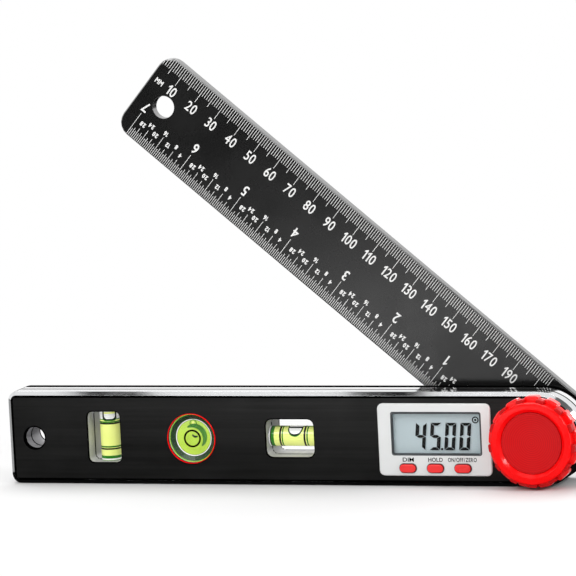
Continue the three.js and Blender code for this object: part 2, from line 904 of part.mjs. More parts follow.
function lockKnob() {
  const shoulder = knobFace + knobShoulder;
  const capRoom = knobCap.radius + seatGap;
  const drum = turned(
    [
      [0, knobFace],
      [knobFaceRadius - knobEdge, knobFace],
      [knobFaceRadius, knobFace + knobEdge],
      [knobFaceRadius, shoulder],
      [knobBaseRadius, shoulder],
      [knobBaseRadius, knobBack],
      [0, knobBack],
    ],
    pivotX,
    middle,
    fineSides,
  );
  const pitch = 360 / knobLugs;
  const halfLug = (knobLugShare * pitch) / 2;
  const halfTab = pitch / 2 - halfLug;
  const root = knobBaseRadius - 2 * knobNotch;
  const lugAngles = Array.from({ length: knobLugs }, (_, i) => knobFirstLug + i * pitch);
  const lugs = lugAngles.map((angle) => {
    const outline = (radius) => sectorOutline(root, radius, angle, halfLug, pivotX, middle);
    return loft([
      { depth: shoulder, outline: outline(knobGripRadius - knobEdge) },
      { depth: shoulder + knobEdge, outline: outline(knobGripRadius) },
      { depth: knobBack, outline: outline(knobGripRadius) },
    ]);
  });
  const tabs = lugAngles.map((angle) => {
    const tabRadius = knobGripRadius - knobTab.drop;
    const outline = sectorOutline(root, tabRadius, angle + pitch / 2, halfTab, pivotX, middle);
    return slab(outline, knobFace + knobTab.front, shoulder + knobTab.lap);
  });
  const recess = turned(
    [
      [0, knobFace - overrun],
      [capRoom + knobFlare, knobFace - overrun],
      [capRoom + knobFlare, knobFace],
      [capRoom, knobCapFront],
      [capRoom, knobSeat],
      [0, knobSeat],
    ],
    pivotX,
    middle,
    fineSides,
  );
  const skirtRadius = knobBaseRadius - knobSkin;
  const bossRadius = insertRadius + seatGap + knobBossWall;
  const back = knobBack + overrun;
  const ribs = Array.from({ length: knobRibs / 2 }, (_, i) => {
    const rib = block(2 * knobGripRadius, knobRib, knobSeat, back + overrun, 0, 0);
    return rib.rotateY((2 * Math.PI * i) / knobRibs).translate(pivotX, 0, middle);
  });
  const hollow = ring(bossRadius, skirtRadius, knobRoofBack, back, pivotX, middle);
  return cut(
    join(drum, ...lugs, ...tabs),
    cut(hollow, ...ribs),
    recess,
    rod(insertRadius + seatGap, knobRoofBack, back, pivotX, middle),
  );
}

function knobCapDisc() {
  const front = knobCapFront;
  const back = front + knobCap.thickness;
  return turned(
    [
      [0, front + knobCap.dish],
      [knobCap.radius - 2 * knobCap.rim, front + knobCap.dish],
      [knobCap.radius - knobCap.rim, front],
      [knobCap.radius, front],
      [knobCap.radius, back],
      [0, back],
    ],
    pivotX,
    middle,
    fineSides,
  );
}

function knobInsert() {
  return ring(boreRadius, insertRadius, insertFront, knobBack - seatGap, pivotX, middle);
}

// Arm, drawn in its own frame, in which it lies folded along -X

function rulerArm() {
  const arm = loft([
    { depth: armFront, outline: armOutline(armChamfer) },
    { depth: armFront + armChamfer, outline: armOutline(0) },
    { depth: armBack - armChamfer, outline: armOutline(0) },
    { depth: armBack, outline: armOutline(armChamfer) },
  ]);
  const front = armFront - overrun;
  const back = armBack + overrun;
  const neckRoom = boltNeck + 2 * seatGap;
  return cut(
    arm,
    rod(armHoleRadius, front, back, armHoleInset - armLength, 0, fineSides),
    block(neckRoom, neckRoom, front, back, 0, 0),
    rod(boltHead.radius + seatGap, headFront - seatGap, back, 0, 0),
  );
}

function pivotBolt() {
  const shaft = turned(
    [
      [0, insertFront + boltTip],
      [boltRadius - boltTip, insertFront + boltTip],
      [boltRadius, insertFront + 2 * boltTip],
      [boltRadius, armFront + overrun],
      [0, armFront + overrun],
    ],
    0,
    0,
  );
  const head = turned(
    [
      [0, headFront],
      [boltHead.radius, headFront],
      [boltHead.radius, headBack - boltHead.dome],
      [boltHead.radius - 2 * boltHead.dome, headBack],
      [0, headBack],
    ],
    0,
    0,
  );
  return join(shaft, block(boltNeck, boltNeck, armFront, headFront + glueGap, 0, 0), head);
}

function encoderRotor() {
  const inner = boltRadius + glueGap;
  const profile = [
    [inner, rotor.depth - rotor.hubLap],
    [rotor.hubRadius, rotor.depth - rotor.hubLap],
    [rotor.hubRadius, rotor.depth],
    [rotor.radius, rotor.depth],
    [rotor.radius, rotorBack],
    [rotor.hubRadius, rotorBack],
    [rotor.hubRadius, rotorBack + rotor.hubLap],
    [inner, rotorBack + rotor.hubLap],
    [inner, rotor.depth - rotor.hubLap],
  ];
  return turned(profile, 0, 0);
}

// Assembly

const tool = new THREE.Group();

function add(parent, name, geometry, material) {
  const mesh = new THREE.Mesh(geometry, material);
  mesh.name = name;
  parent.add(mesh);
}

add(tool, "front_shell", frontShell(), polishedMetal);
add(tool, "face_plate", facePlate(), blackSheet);
add(tool, "rear_shell", rearShell(), polishedMetal);
add(tool, "rear_cover", rearCover(), blackPlastic);
screwPlaces.forEach(([x, z], i) => add(tool, `case_screw_${i + 1}`, caseScrew(x, z), steel));

add(tool, "plumb_vial", uprightBar(vialRadius, plumbLength, plumbX, plumbZ), vialGreen);
add(tool, "plumb_vial_plug", plumbPlug(), whitePlastic);
add(tool, "level_vial", levelBar(vialRadius, levelLength, levelX, middle), vialGreen);
add(tool, "level_vial_plug", levelPlug(), whitePlastic);
add(tool, "bullseye_vial", bullseyeVial(), vialGreen);
add(tool, "bullseye_ring", bullseyeRing(), redPlastic);

add(tool, "display_bezel", displayBezel(), paleGrey);
add(tool, "display_lens", displayLens(), clearPlastic);
add(tool, "lcd_panel", lcdPanel(), screenGrey);
add(tool, "zebra_strip_upper", zebraStrip(1), rubberBlack);
add(tool, "zebra_strip_lower", zebraStrip(-1), rubberBlack);
add(tool, "circuit_board", circuitBoard(), boardGreen);
add(tool, "controller_chip", controllerChip(), rubberBlack);
for (const [name, x] of Object.entries(buttonX)) {
  add(tool, `button_${name}`, button(x), redPlastic);
  add(tool, `switch_${name}`, pressSwitchBody(x), rubberBlack);
}

add(tool, "coin_cell", coinCell(), steel);
add(tool, "battery_contact_minus", batteryContactMinus(), brass);
add(tool, "battery_contact_plus", batteryContactPlus(), brass);
add(tool, "battery_cap", batteryCap(), blackPlastic);

add(tool, "front_bush", frontBush(), brass);
add(tool, "rear_bush", rearBush(), brass);
add(tool, "encoder_stator", encoderStator(), boardGreen);
add(tool, "sensor_ribbon", sensorRibbon(), amberFilm);
add(tool, "friction_washer", washer(frictionWasher, washerFront), whitePlastic);
add(tool, "knob_washer", washer(knobWasher, -glueGap - knobWasher.thickness), steel);

add(tool, "lock_knob", lockKnob(), redPlastic);
add(tool, "knob_cap", knobCapDisc(), darkRed);
add(tool, "knob_insert", knobInsert(), brass);

const armFrame = new THREE.Group();
armFrame.position.set(pivotX, 0, middle);
armFrame.rotation.y = THREE.MathUtils.degToRad(openAngle);
add(armFrame, "ruler_arm", rulerArm(), blackSheet);
add(armFrame, "pivot_bolt", pivotBolt(), steel);
add(armFrame, "encoder_rotor", encoderRotor(), whitePlastic);
tool.add(armFrame);

export default tool;
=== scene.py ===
# %% [markdown]
# # A digital angle finder
#
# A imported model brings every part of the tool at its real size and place. This lesson leaves the parts
# where they are and gives each one the surface that the real part has: polished metal, brushed black sheet,
# printed scales, coloured vials, a display and a moulded lock knob.

# %% Load the frame
import json
import math

import bmesh
import bpy
from mathutils import Matrix, Vector


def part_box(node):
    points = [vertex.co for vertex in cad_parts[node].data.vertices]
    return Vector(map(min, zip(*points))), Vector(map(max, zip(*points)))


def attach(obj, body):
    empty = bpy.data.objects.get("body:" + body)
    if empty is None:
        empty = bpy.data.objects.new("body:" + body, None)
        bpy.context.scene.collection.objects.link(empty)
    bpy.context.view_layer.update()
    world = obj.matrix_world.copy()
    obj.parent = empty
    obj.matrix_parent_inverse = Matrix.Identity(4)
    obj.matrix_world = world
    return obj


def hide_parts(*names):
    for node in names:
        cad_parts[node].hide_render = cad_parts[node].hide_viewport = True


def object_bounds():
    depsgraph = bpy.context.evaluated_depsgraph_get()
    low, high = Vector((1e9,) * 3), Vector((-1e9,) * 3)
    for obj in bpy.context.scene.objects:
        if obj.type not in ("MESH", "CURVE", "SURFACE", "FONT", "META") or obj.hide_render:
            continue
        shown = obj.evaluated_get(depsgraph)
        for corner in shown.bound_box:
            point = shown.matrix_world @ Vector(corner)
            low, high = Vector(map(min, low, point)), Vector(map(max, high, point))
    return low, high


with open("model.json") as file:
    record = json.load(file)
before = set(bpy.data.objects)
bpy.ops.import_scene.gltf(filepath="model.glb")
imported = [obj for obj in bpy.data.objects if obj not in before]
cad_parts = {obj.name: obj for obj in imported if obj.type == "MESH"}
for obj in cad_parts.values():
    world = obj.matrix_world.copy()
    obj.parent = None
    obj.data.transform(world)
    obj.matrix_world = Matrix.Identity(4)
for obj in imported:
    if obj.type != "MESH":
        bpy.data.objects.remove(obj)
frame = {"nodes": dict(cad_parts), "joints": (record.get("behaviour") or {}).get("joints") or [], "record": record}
cad_low, cad_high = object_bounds()
record = frame["record"]
joints = {joint["name"]: joint for joint in frame["joints"]}
mm = 0.001
print("parts:", len(frame["nodes"]), "size in mm:", [round(side / mm, 1) for side in cad_high - cad_low])

# %% [markdown]
# Most places follow from the frame. The arm is drawn in its own directions: `toward` runs along it to the
# pivot, `across` runs up over its width, and its free end is where the millimetre scale starts.

# %% Directions and places from the frame
pivot = Vector(joints["arm_pivot"]["pos_m"])
open_angle = -math.radians(joints["arm_pivot"]["range_deg"][0])
toward = Vector((math.cos(open_angle), 0, -math.sin(open_angle)))
across = Vector((math.sin(open_angle), 0, math.cos(open_angle)))
arm_points = [vertex.co for vertex in frame["nodes"]["ruler_arm"].data.vertices]
arm_reach = max((pivot - point).dot(toward) for point in arm_points)
arm_half = max((point - pivot).dot(across) for point in arm_points)
arm_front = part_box("ruler_arm")[0].y
free_end = Vector((pivot.x, 0, pivot.z)) - toward * arm_reach
arm_place = Matrix((
    (toward.x, 0, across.x, free_end.x),
    (0, 1, 0, arm_front),
    (toward.z, 0, across.z, free_end.z),
    (0, 0, 0, 1),
))


def box_centre(node):
    low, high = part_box(node)
    return (low + high) / 2


print("arm reach in mm:", round(arm_reach / mm, 2), "half width:", round(arm_half / mm, 2))

# %% [markdown]
# The photograph was taken with a long lens, a little from the right and from above, with the camera
# slightly rolled. Azimuth, elevation and roll turn the camera, and the distance sets how strong the
# perspective is. A Track To constraint could aim it too, but it keeps a camera level, so its three
# directions are worked out here and put into one matrix.


# %% Camera
def add_object(name, data):
    """Puts an object that holds the data into the scene, at the origin."""
    holder = bpy.data.objects.new(name, data)
    bpy.context.collection.objects.link(holder)
    return holder


camera_target = Vector((1.988, -8.5, 75.945)) * mm
camera_distance = 1806.75 * mm
azimuth, elevation, roll = (math.radians(degrees) for degrees in (18.603, 7.426, -2.845))
back = Vector((
    math.sin(azimuth) * math.cos(elevation),
    -math.cos(azimuth) * math.cos(elevation),
    math.sin(elevation),
))
level_right = Vector((math.cos(azimuth), math.sin(azimuth), 0))
level_up = back.cross(level_right)
right = level_right * math.cos(roll) + level_up * math.sin(roll)
up = level_up * math.cos(roll) - level_right * math.sin(roll)
lens = bpy.data.cameras.new("camera")
lens.lens = 298.3
lens.sensor_width = 36
lens.clip_end = 20
camera = add_object("camera", lens)
camera.matrix_world = Matrix.Translation(camera_target + back * camera_distance) @ Matrix((
    (right.x, up.x, back.x, 0),
    (right.y, up.y, back.y, 0),
    (right.z, up.z, back.z, 0),
    (0, 0, 0, 1),
))
bpy.context.scene.camera = camera
bpy.context.scene.view_settings.view_transform = "Standard"
print("camera: lens in mm", lens.lens, "distance in m", round(camera_distance, 3))

# %% [markdown]
# A node tree is a list of nodes and links. These few helpers keep the material cells short: one adds a node
# with its settings, one makes a group with named inputs and outputs, and the others add the few kinds of
# node that come back in many trees.

# %% Helpers for node trees
SOCKETS = {
    "float": "NodeSocketFloat",
    "int": "NodeSocketInt",
    "vector": "NodeSocketVector",
    "geometry": "NodeSocketGeometry",
    "object": "NodeSocketObject",
    "material": "NodeSocketMaterial",
}


def put(tree, kind, values=None, **settings):
    """Adds a node. values sets its sockets, and a linked value is an output socket."""
    node = tree.nodes.new(kind)
    for name, value in settings.items():
        setattr(node, name, value)
    for name, value in (values or {}).items():
        if isinstance(value, bpy.types.NodeSocket):
            tree.links.new(value, node.inputs[name])
        else:
            node.inputs[name].default_value = value
    return node


def new_group(name, kind, inputs, outputs):
    """A node group with named sockets. Each is (name, type) or (name, type, default)."""
    tree = bpy.data.node_groups.new(name, kind)
    for in_out, sockets in (("INPUT", inputs), ("OUTPUT", outputs)):
        for label, socket_type, *default in sockets:
            socket = tree.interface.new_socket(label, in_out=in_out, socket_type=SOCKETS[socket_type])
            if default:
                socket.default_value = default[0]
    return tree, tree.nodes.new("NodeGroupInput").outputs, tree.nodes.new("NodeGroupOutput").inputs


def calculate(tree, operation, first, second=0.0, third=0.0):
    node = put(tree, "ShaderNodeMath", {0: first, 1: second, 2: third}, operation=operation)
    return node.outputs[0]


def combine(tree, **parts):
    """A vector from its parts X, Y and Z."""
    return put(tree, "ShaderNodeCombineXYZ", parts).outputs[0]


def length_of(tree, vector):
    return put(tree, "ShaderNodeVectorMath", {0: vector}, operation="LENGTH").outputs["Value"]


def object_place(tree):
    """The shaded point, in coordinates that stay with the piece when its body moves."""
    return put(tree, "ShaderNodeTexCoord").outputs["Object"]


def soft_step(tree, value, start, end, low, high):
    """Goes smoothly from low to high while the value goes from start to end."""
    return put(tree, "ShaderNodeMapRange", {
        "Value": value, "From Min": start, "From Max": end, "To Min": low, "To Max": high,
    }, interpolation_type="SMOOTHSTEP").outputs[0]


# %% [markdown]
# ## Light
#
# The picture has a white background with a soft grey shadow. Camera, glass and metal see a white world.
# Metal and gloss get a darker sky in front, as in a studio whose walls are white behind the tool and dark
# behind the camera, so that black parts stay black. More lamps could whiten the background too, but they
# would also bleach the tool, so Light Path tells the rays apart instead.

# %% World
FULL_WHITE = (1.0, 1.0, 1.0, 1.0)


def mix_shaders(tree, share, first, second):
    return put(tree, "ShaderNodeMixShader", {0: share, 1: first, 2: second}).outputs[0]


world = bpy.data.worlds.new("studio")
world.use_nodes = True
bpy.context.scene.world = world
sky = world.node_tree
sky.nodes.clear()
sky_light, darkest_mirrored = 0.55, 0.07
ray_direction = put(sky, "ShaderNodeTexCoord").outputs["Generated"]
direction = put(sky, "ShaderNodeSeparateXYZ", {0: ray_direction}).outputs
behind = soft_step(sky, direction["Y"], -0.6, 0.1, darkest_mirrored, 1.0)
above = soft_step(sky, direction["Z"], 0.3, 0.9, 0.0, 1.0)
mirrored_level = calculate(sky, "MAXIMUM", behind, above)
rays = put(sky, "ShaderNodeLightPath").outputs
seen = calculate(sky, "MAXIMUM", rays["Is Camera Ray"], rays["Is Transmission Ray"])
lighting, mirrored, shown = (
    put(sky, "ShaderNodeBackground", {"Color": FULL_WHITE, "Strength": strength}).outputs[0]
    for strength in (sky_light, mirrored_level, 1.0)
)
gloss_or_light = mix_shaders(sky, rays["Is Glossy Ray"], lighting, mirrored)
put(sky, "ShaderNodeOutputWorld", {"Surface": mix_shaders(sky, seen, gloss_or_light, shown)})
print("sky: lights with", sky_light, "and is seen as plain white")

# %% [markdown]
# Three lamps: a broad sun from above and a little behind throws the soft shadow forward, a soft lamp at the
# upper left lights the front, and a smaller one at the right brightens the knob's lugs. The sun has no
# falloff, so the floor stays evenly white.

# %% Lamps
tool_centre = Vector((0.0, 0.0, 0.06))


def add_lamp(name, kind, place, power, **settings):
    """A lamp that shines on the tool. Its own settings, such as its size, go by their names."""
    lamp = bpy.data.lights.new(name, kind)
    lamp.energy = power
    for label, value in settings.items():
        setattr(lamp, label, value)
    holder = add_object(name, lamp)
    holder.location = place
    holder.rotation_euler = (tool_centre - Vector(place)).to_track_quat("-Z", "Y").to_euler()
    print("lamp:", name, "with power", power)


add_lamp("top_sun", "SUN", (-0.15, 0.35, 1.0), 1.75, angle=math.radians(50))
add_lamp("front_lamp", "AREA", (-0.25, -1.15, 1.1), 9.0, size=0.9)
add_lamp("side_lamp", "AREA", (1.1, -0.35, 0.75), 5.0, size=0.35)

# %% [markdown]
# The polished bevel of the body mirrors what hangs above it, and the black faces mirror what lies in front.
# Cards that only reflections can see stand for the dark gaps between a studio's lights, and one pale card
# on the floor gives the black faces their soft sheen. The same could be painted into the sky, but a card
# has a place, so its reflection moves over the metal as a real one does.


# %% Cards for reflections
def new_material(name):
    """A material and its node tree, still empty."""
    material = bpy.data.materials.new(name)
    material.use_nodes = True
    material.node_tree.nodes.clear()
    return material, material.node_tree


def white_light(tree, strength):
    return put(tree, "ShaderNodeEmission", {"Color": FULL_WHITE, "Strength": strength}).outputs[0]


def level_sheet(name, low, high, height, material):
    """A level four-sided sheet between two corners, each given as X and Y."""
    mesh = bpy.data.meshes.new(name)
    corners = ((low[0], low[1]), (high[0], low[1]), (high[0], high[1]), (low[0], high[1]))
    mesh.from_pydata([(x, y, height) for x, y in corners], [], [(0, 1, 2, 3)])
    mesh.materials.append(material)
    return add_object(name, mesh)


def card(name, low, high, height, level, fade=False):
    """A level card that only reflections see. With fade, it is brightest in its middle."""
    paint, tree = new_material(name)
    strength = level
    if fade:
        sides = (high[0] - low[0], high[1] - low[1], 1.0)
        middle = ((low[0] + high[0]) / 2, (low[1] + high[1]) / 2, height)
        centred = put(tree, "ShaderNodeMapping", {
            "Vector": object_place(tree),
            "Location": tuple(-2 * place / side for place, side in zip(middle, sides)),
            "Scale": tuple(2 / side for side in sides),
        })
        strength = soft_step(tree, length_of(tree, centred.outputs[0]), 0.1, 1.0, level, 0.0)
    put(tree, "ShaderNodeOutputMaterial", {"Surface": white_light(tree, strength)})
    sheet = level_sheet(name, low, high, height, paint)
    sheet.visible_camera = False
    sheet.visible_diffuse = False
    sheet.visible_shadow = False
    sheet.visible_transmission = False
    print("card:", name, "with level", level)


hung_at, near_black = 0.335, 0.01
card("dark_card_left", (-0.229, -0.2), (-0.188, 0.1), hung_at, near_black)
card("dark_card_right", (-0.076, -0.2), (-0.036, 0.1), hung_at, near_black)
card("pale_card", (-0.26, -0.56), (0.14, -0.12), 0.003, 2.8, fade=True)
card("left_card", (-0.7, -0.03), (-0.125, 0.5), 0.002, 0.4)
card("right_card", (0.125, 0.02), (0.7, 0.6), 0.002, 0.6)
card("dark_card_end", (0.19, -0.28), (0.5, 0.08), hung_at, 0.15)

# %% [markdown]
# The floor's tone is set so that, lit by all lamps, it is just as white as the background near the tool,
# where its soft shadow lies. Further away the camera sees plain white. In reflections the floor is dark, as
# the table in front of a product is.

# %% Floor
floor_half, floor_tone, mirrored_floor = 6.0, 0.745, 0.004
shadow_reach, white_reach = 0.07, 0.24
pale, ground = new_material("pale_floor")
floor_rays = put(ground, "ShaderNodeLightPath").outputs
matte = put(ground, "ShaderNodeBsdfDiffuse", {"Color": (floor_tone, floor_tone, floor_tone, 1.0)})
flattened = put(ground, "ShaderNodeMapping", {"Vector": object_place(ground), "Scale": (0.5, 1.0, 1.0)})
beyond = soft_step(ground, length_of(ground, flattened.outputs[0]), shadow_reach, white_reach, 0.0, 1.0)
white_share = calculate(ground, "MULTIPLY", beyond, floor_rays["Is Camera Ray"])
lit_floor = mix_shaders(ground, white_share, matte.outputs[0], white_light(ground, 1.0))
floor_look = mix_shaders(ground, floor_rays["Is Glossy Ray"], lit_floor, white_light(ground, mirrored_floor))
put(ground, "ShaderNodeOutputMaterial", {"Surface": floor_look})
floor = level_sheet("floor", (-floor_half, -floor_half), (floor_half, floor_half), 0, pale)
print("floor: tone", floor_tone, "plain white beyond", white_reach, "m")

# %% [markdown]
# ## Surfaces
#
# Three effects appear in many finishes, so each is one node group. Brushed grain is noise stretched along
# the brushing. Moulded skin is the fine grain of a plastic mould. Handling marks are faint smudges that
# change how rough a surface is. Pictures could do the same, but noise stays sharp at every distance.


# %% Shader group: brushed grain
def bump(tree, height, strength, distance=0.02 * mm):
    """The normal of a surface whose relief follows the height."""
    node = put(tree, "ShaderNodeBump", {"Height": height, "Strength": strength, "Distance": distance})
    return node.outputs[0]


grain_tree, given, result = new_group(
    "brushed_grain", "ShaderNodeTree",
    [("Along", "float", 40.0), ("Across", "float", 4000.0), ("Turn", "float", 0.0), ("Depth", "float", 0.2)],
    [("Grain", "float"), ("Normal", "vector")],
)
turn_vector = combine(grain_tree, Y=given["Turn"])
stretch = combine(grain_tree, X=given["Along"], Y=given["Across"], Z=given["Across"])
laid = put(grain_tree, "ShaderNodeMapping", {"Vector": object_place(grain_tree), "Rotation": turn_vector})
drawn_out = put(grain_tree, "ShaderNodeVectorMath", {0: laid.outputs[0], 1: stretch}, operation="MULTIPLY")
hairlines = put(grain_tree, "ShaderNodeTexNoise", {
    "Vector": drawn_out.outputs[0], "Scale": 1.0, "Detail": 3.0, "Roughness": 0.6,
}).outputs[0]
grain_tree.links.new(hairlines, result["Grain"])
grain_tree.links.new(bump(grain_tree, hairlines, given["Depth"]), result["Normal"])
print("brushed grain:", len(grain_tree.nodes), "nodes")

# %% Shader group: moulded skin
skin_tree, given, result = new_group(
    "moulded_skin", "ShaderNodeTree",
    [("Size", "float", 3500.0), ("Depth", "float", 0.25)],
    [("Tone", "float"), ("Normal", "vector")],
)
skin_place = object_place(skin_tree)
skin_noise = put(skin_tree, "ShaderNodeTexNoise", {
    "Vector": skin_place, "Scale": given["Size"], "Detail": 2.0, "Roughness": 0.5,
})
broad_tone = put(skin_tree, "ShaderNodeTexNoise", {"Vector": skin_place, "Scale": 45.0, "Detail": 2.0})
skin_tree.links.new(broad_tone.outputs[0], result["Tone"])
skin_tree.links.new(bump(skin_tree, skin_noise.outputs[0], given["Depth"]), result["Normal"])
print("moulded skin:", len(skin_tree.nodes), "nodes")

# %% Shader group: handling marks
marks_tree, given, result = new_group(
    "handling_marks", "ShaderNodeTree",
    [("Cleanest", "float", 0.2), ("Dullest", "float", 0.3)],
    [("Roughness", "float")],
)
smudges = put(marks_tree, "ShaderNodeTexNoise", {
    "Vector": object_place(marks_tree), "Scale": 60.0, "Detail": 3.0,
})
dulled = put(marks_tree, "ShaderNodeMapRange", {
    "Value": smudges.outputs[0], "From Min": 0.35, "From Max": 0.7,
    "To Min": given["Cleanest"], "To Max": given["Dullest"],
})
marks_tree.links.new(dulled.outputs[0], result["Roughness"])
print("handling marks:", len(marks_tree.nodes), "nodes")

# %% [markdown]
# Every finish below starts from the same short recipe: a Principled shader whose roughness comes from
# handling marks. Brushed finishes add grain, and moulded ones add skin. What is the same all over a
# surface, such as the metal value or the coat, is set on the shader's own socket.


# %% Recipes for finishes
def start_finish(name, colour, cleanest, dullest, **plain):
    """A finish in one colour. The plain values go by the names of the shader's sockets."""
    material, tree = new_material(name)
    material.diffuse_color = (*colour, 1.0)
    marks = put(tree, "ShaderNodeGroup", {"Cleanest": cleanest, "Dullest": dullest}, node_tree=marks_tree)
    sockets = {label.replace("_", " "): value for label, value in plain.items()}
    shader = put(tree, "ShaderNodeBsdfPrincipled", {
        "Base Color": (*colour, 1.0), "Roughness": marks.outputs["Roughness"], **sockets,
    })
    put(tree, "ShaderNodeOutputMaterial", {"Surface": shader.outputs[0]})
    return material, tree, shader


def tint(tree, shader, mask, low, high):
    """Base colour between two colours, by a mask that changes over the surface."""
    blend = put(tree, "ShaderNodeMix", {0: mask, 6: (*low, 1.0), 7: (*high, 1.0)}, data_type="RGBA")
    tree.links.new(blend.outputs[2], shader.inputs["Base Color"])


def patterned(name, low, high, cleanest, dullest, group, mask, values, **plain):
    """A finish whose colour and relief come from a shader group."""
    material, tree, shader = start_finish(name, high, cleanest, dullest, **plain)
    pattern = put(tree, "ShaderNodeGroup", values, node_tree=group)
    tint(tree, shader, pattern.outputs[mask], low, high)
    tree.links.new(pattern.outputs["Normal"], shader.inputs["Normal"])
    print("finish:", name)
    return material


def brushed(name, low, high, cleanest, dullest, along, across_scale, turn=0.0, depth=0.2, **plain):
    values = {"Along": along, "Across": across_scale, "Turn": turn, "Depth": depth}
    return patterned(name, low, high, cleanest, dullest, grain_tree, "Grain", values, **plain)


def moulded(name, low, high, cleanest, dullest, size=3500.0, depth=0.25, **plain):
    values = {"Size": size, "Depth": depth}
    return patterned(name, low, high, cleanest, dullest, skin_tree, "Tone", values, **plain)


# %% Metals
polished_metal = brushed(
    "polished_front", (0.7, 0.71, 0.72), (0.8, 0.81, 0.82), 0.08, 0.15, 30.0, 2500.0, depth=0.08,
    Metallic=1.0,
)
rear_metal = brushed(
    "polished_rear", (0.9, 0.91, 0.92), (0.98, 0.98, 0.98), 0.08, 0.15, 30.0, 2500.0, depth=0.08,
    Metallic=1.0,
)
cut_metal = brushed(
    "milled_openings", (0.42, 0.415, 0.43), (0.64, 0.635, 0.65), 0.45, 0.6, 1800.0, 60.0, depth=0.2,
    Metallic=0.3,
)
bare_edge = brushed(
    "bare_arm_edge", (0.27, 0.27, 0.27), (0.36, 0.36, 0.36), 0.25, 0.35, 60.0, 5000.0, turn=-open_angle,
    Metallic=1.0,
)
steel = brushed("steel", (0.5, 0.5, 0.51), (0.66, 0.66, 0.66), 0.22, 0.34, 900.0, 900.0, Metallic=1.0)
brass = brushed("brass", (0.55, 0.37, 0.11), (0.72, 0.5, 0.19), 0.24, 0.36, 900.0, 900.0, Metallic=1.0)

# %% Black sheet, black arm and black plastic
face_black = brushed(
    "brushed_black_face", (0.0, 0.0, 0.0), (0.018, 0.018, 0.0175), 0.28, 0.46, 14.0, 900.0, depth=0.7,
    Specular_IOR_Level=0.5,
)
arm_black = brushed(
    "satin_black_arm", (0.003, 0.003, 0.003), (0.007, 0.007, 0.0069), 0.24, 0.3, 500.0, 2500.0,
    turn=-open_angle, depth=0.1, Specular_IOR_Level=0.9,
)
plastic_blacks = (0.006, 0.006, 0.006), (0.014, 0.014, 0.014)
cover_black = moulded("moulded_black", *plastic_blacks, 0.35, 0.5, depth=0.5, Specular_IOR_Level=0.5)
rubber_black = moulded("rubber_black", *plastic_blacks, 0.6, 0.8, depth=0.4)
deep_black = moulded(
    "deep_black", (0.0005, 0.0005, 0.0005), (0.001, 0.001, 0.001), 0.7, 0.8, Specular_IOR_Level=0.0,
)

# %% Coloured plastics and ink
bezel_grey = moulded("bezel_grey", (0.74, 0.752, 0.748), (0.81, 0.822, 0.818), 0.3, 0.4, depth=0.15)
button_red = moulded(
    "button_red", (0.9, 0.03, 0.03), (0.98, 0.05, 0.05), 0.25, 0.35, depth=0.1, Specular_IOR_Level=0.35,
)
# Painted shade: a dark red for the buttons' sides.
button_painted_shade = moulded(
    "button_painted_shade", (0.2, 0.004, 0.006), (0.3, 0.006, 0.008), 0.4, 0.5, Specular_IOR_Level=0.1,
)
white_plastic = moulded("white_plastic", (0.7, 0.7, 0.68), (0.78, 0.78, 0.76), 0.35, 0.5)
board_green = moulded("board_green", (0.006, 0.09, 0.03), (0.012, 0.15, 0.05), 0.3, 0.45)
amber_film = moulded("amber_film", (0.33, 0.13, 0.02), (0.45, 0.2, 0.05), 0.2, 0.3)
white_ink = moulded("white_ink", (0.82, 0.82, 0.81), (0.9, 0.9, 0.89), 0.45, 0.6, depth=0.1)

# %% [markdown]
# The knob is moulded in one bright red. Its lugs catch the light on their soft edges, which a sheen stands
# for, and the blocks between them lie in shade, which is painted on them as a darker red. The inlaid disc is
# darker too, with the fine rings that a lathe leaves, so its grain depends on the distance from the pivot
# and not on a direction.

# %% Knob finishes
bright_reds = (0.97, 0.001, 0.002), (1.0, 0.003, 0.004)
knob_red = moulded("knob_red", *bright_reds, 0.16, 0.24, size=2500.0, depth=0.1, Specular_IOR_Level=0.3)
knob_grip = moulded(
    "knob_grip", *bright_reds, 0.2, 0.3, size=2500.0, depth=0.1, Specular_IOR_Level=0.6,
    Sheen_Weight=0.7, Sheen_Roughness=0.35,
)
# Painted shade: the blocks between the lugs take a darker red than the rest of the knob.
knob_gap_shade = moulded("knob_gap_shade", (0.5, 0.001, 0.002), (0.6, 0.002, 0.003), 0.4, 0.5, Specular_IOR_Level=0.2)

# %% Knob disc
disc_dark, disc_light = (0.5, 0.001, 0.003), (0.7, 0.004, 0.006)
rings_apart = 0.8 * mm
disc_red, disc_tree, disc_shader = start_finish(
    "turned_red_disc", disc_light, 0.3, 0.42, Specular_IOR_Level=0.2,
)
disc_place = put(disc_tree, "ShaderNodeMapping", {
    "Vector": object_place(disc_tree), "Location": tuple(-pivot), "Scale": (1.0, 0.0, 1.0),
}).outputs[0]
disc_turns = calculate(disc_tree, "MULTIPLY", length_of(disc_tree, disc_place), 2 * math.pi / rings_apart)
ring_wave = calculate(disc_tree, "SINE", disc_turns)
ring_patches = put(disc_tree, "ShaderNodeTexNoise", {"Vector": disc_place, "Scale": 260.0, "Detail": 2.0})
ring_strength = calculate(disc_tree, "MULTIPLY", ring_wave, ring_patches.outputs[0])
disc_mask = calculate(disc_tree, "MULTIPLY_ADD", ring_strength, 0.5, 0.5)
tint(disc_tree, disc_shader, disc_mask, disc_dark, disc_light)
disc_tree.links.new(bump(disc_tree, ring_strength, 0.25, 0.03 * mm), disc_shader.inputs["Normal"])
print("rings on the disc, apart in mm:", rings_apart / mm)

# %% [markdown]
# The liquid in the vials is dyed so that it glows in daylight. A little light of its own gives that glow,
# and a clear coat stands for the acrylic tube round it. Real glass round a real liquid would need many more
# samples.


# %% Vial finishes
def glowing(name, low, high, strength, roughness=0.08):
    coat = {"Coat_Weight": 0.4, "Coat_Roughness": 0.03}
    material, tree, shader = start_finish(
        name, high, roughness, 2 * roughness, Emission_Color=(*high, 1.0), Emission_Strength=strength, **coat,
    )
    clouds = put(tree, "ShaderNodeTexNoise", {"Vector": object_place(tree), "Scale": 180.0, "Detail": 1.0})
    tint(tree, shader, clouds.outputs[0], low, high)
    print("finish:", name)
    return material


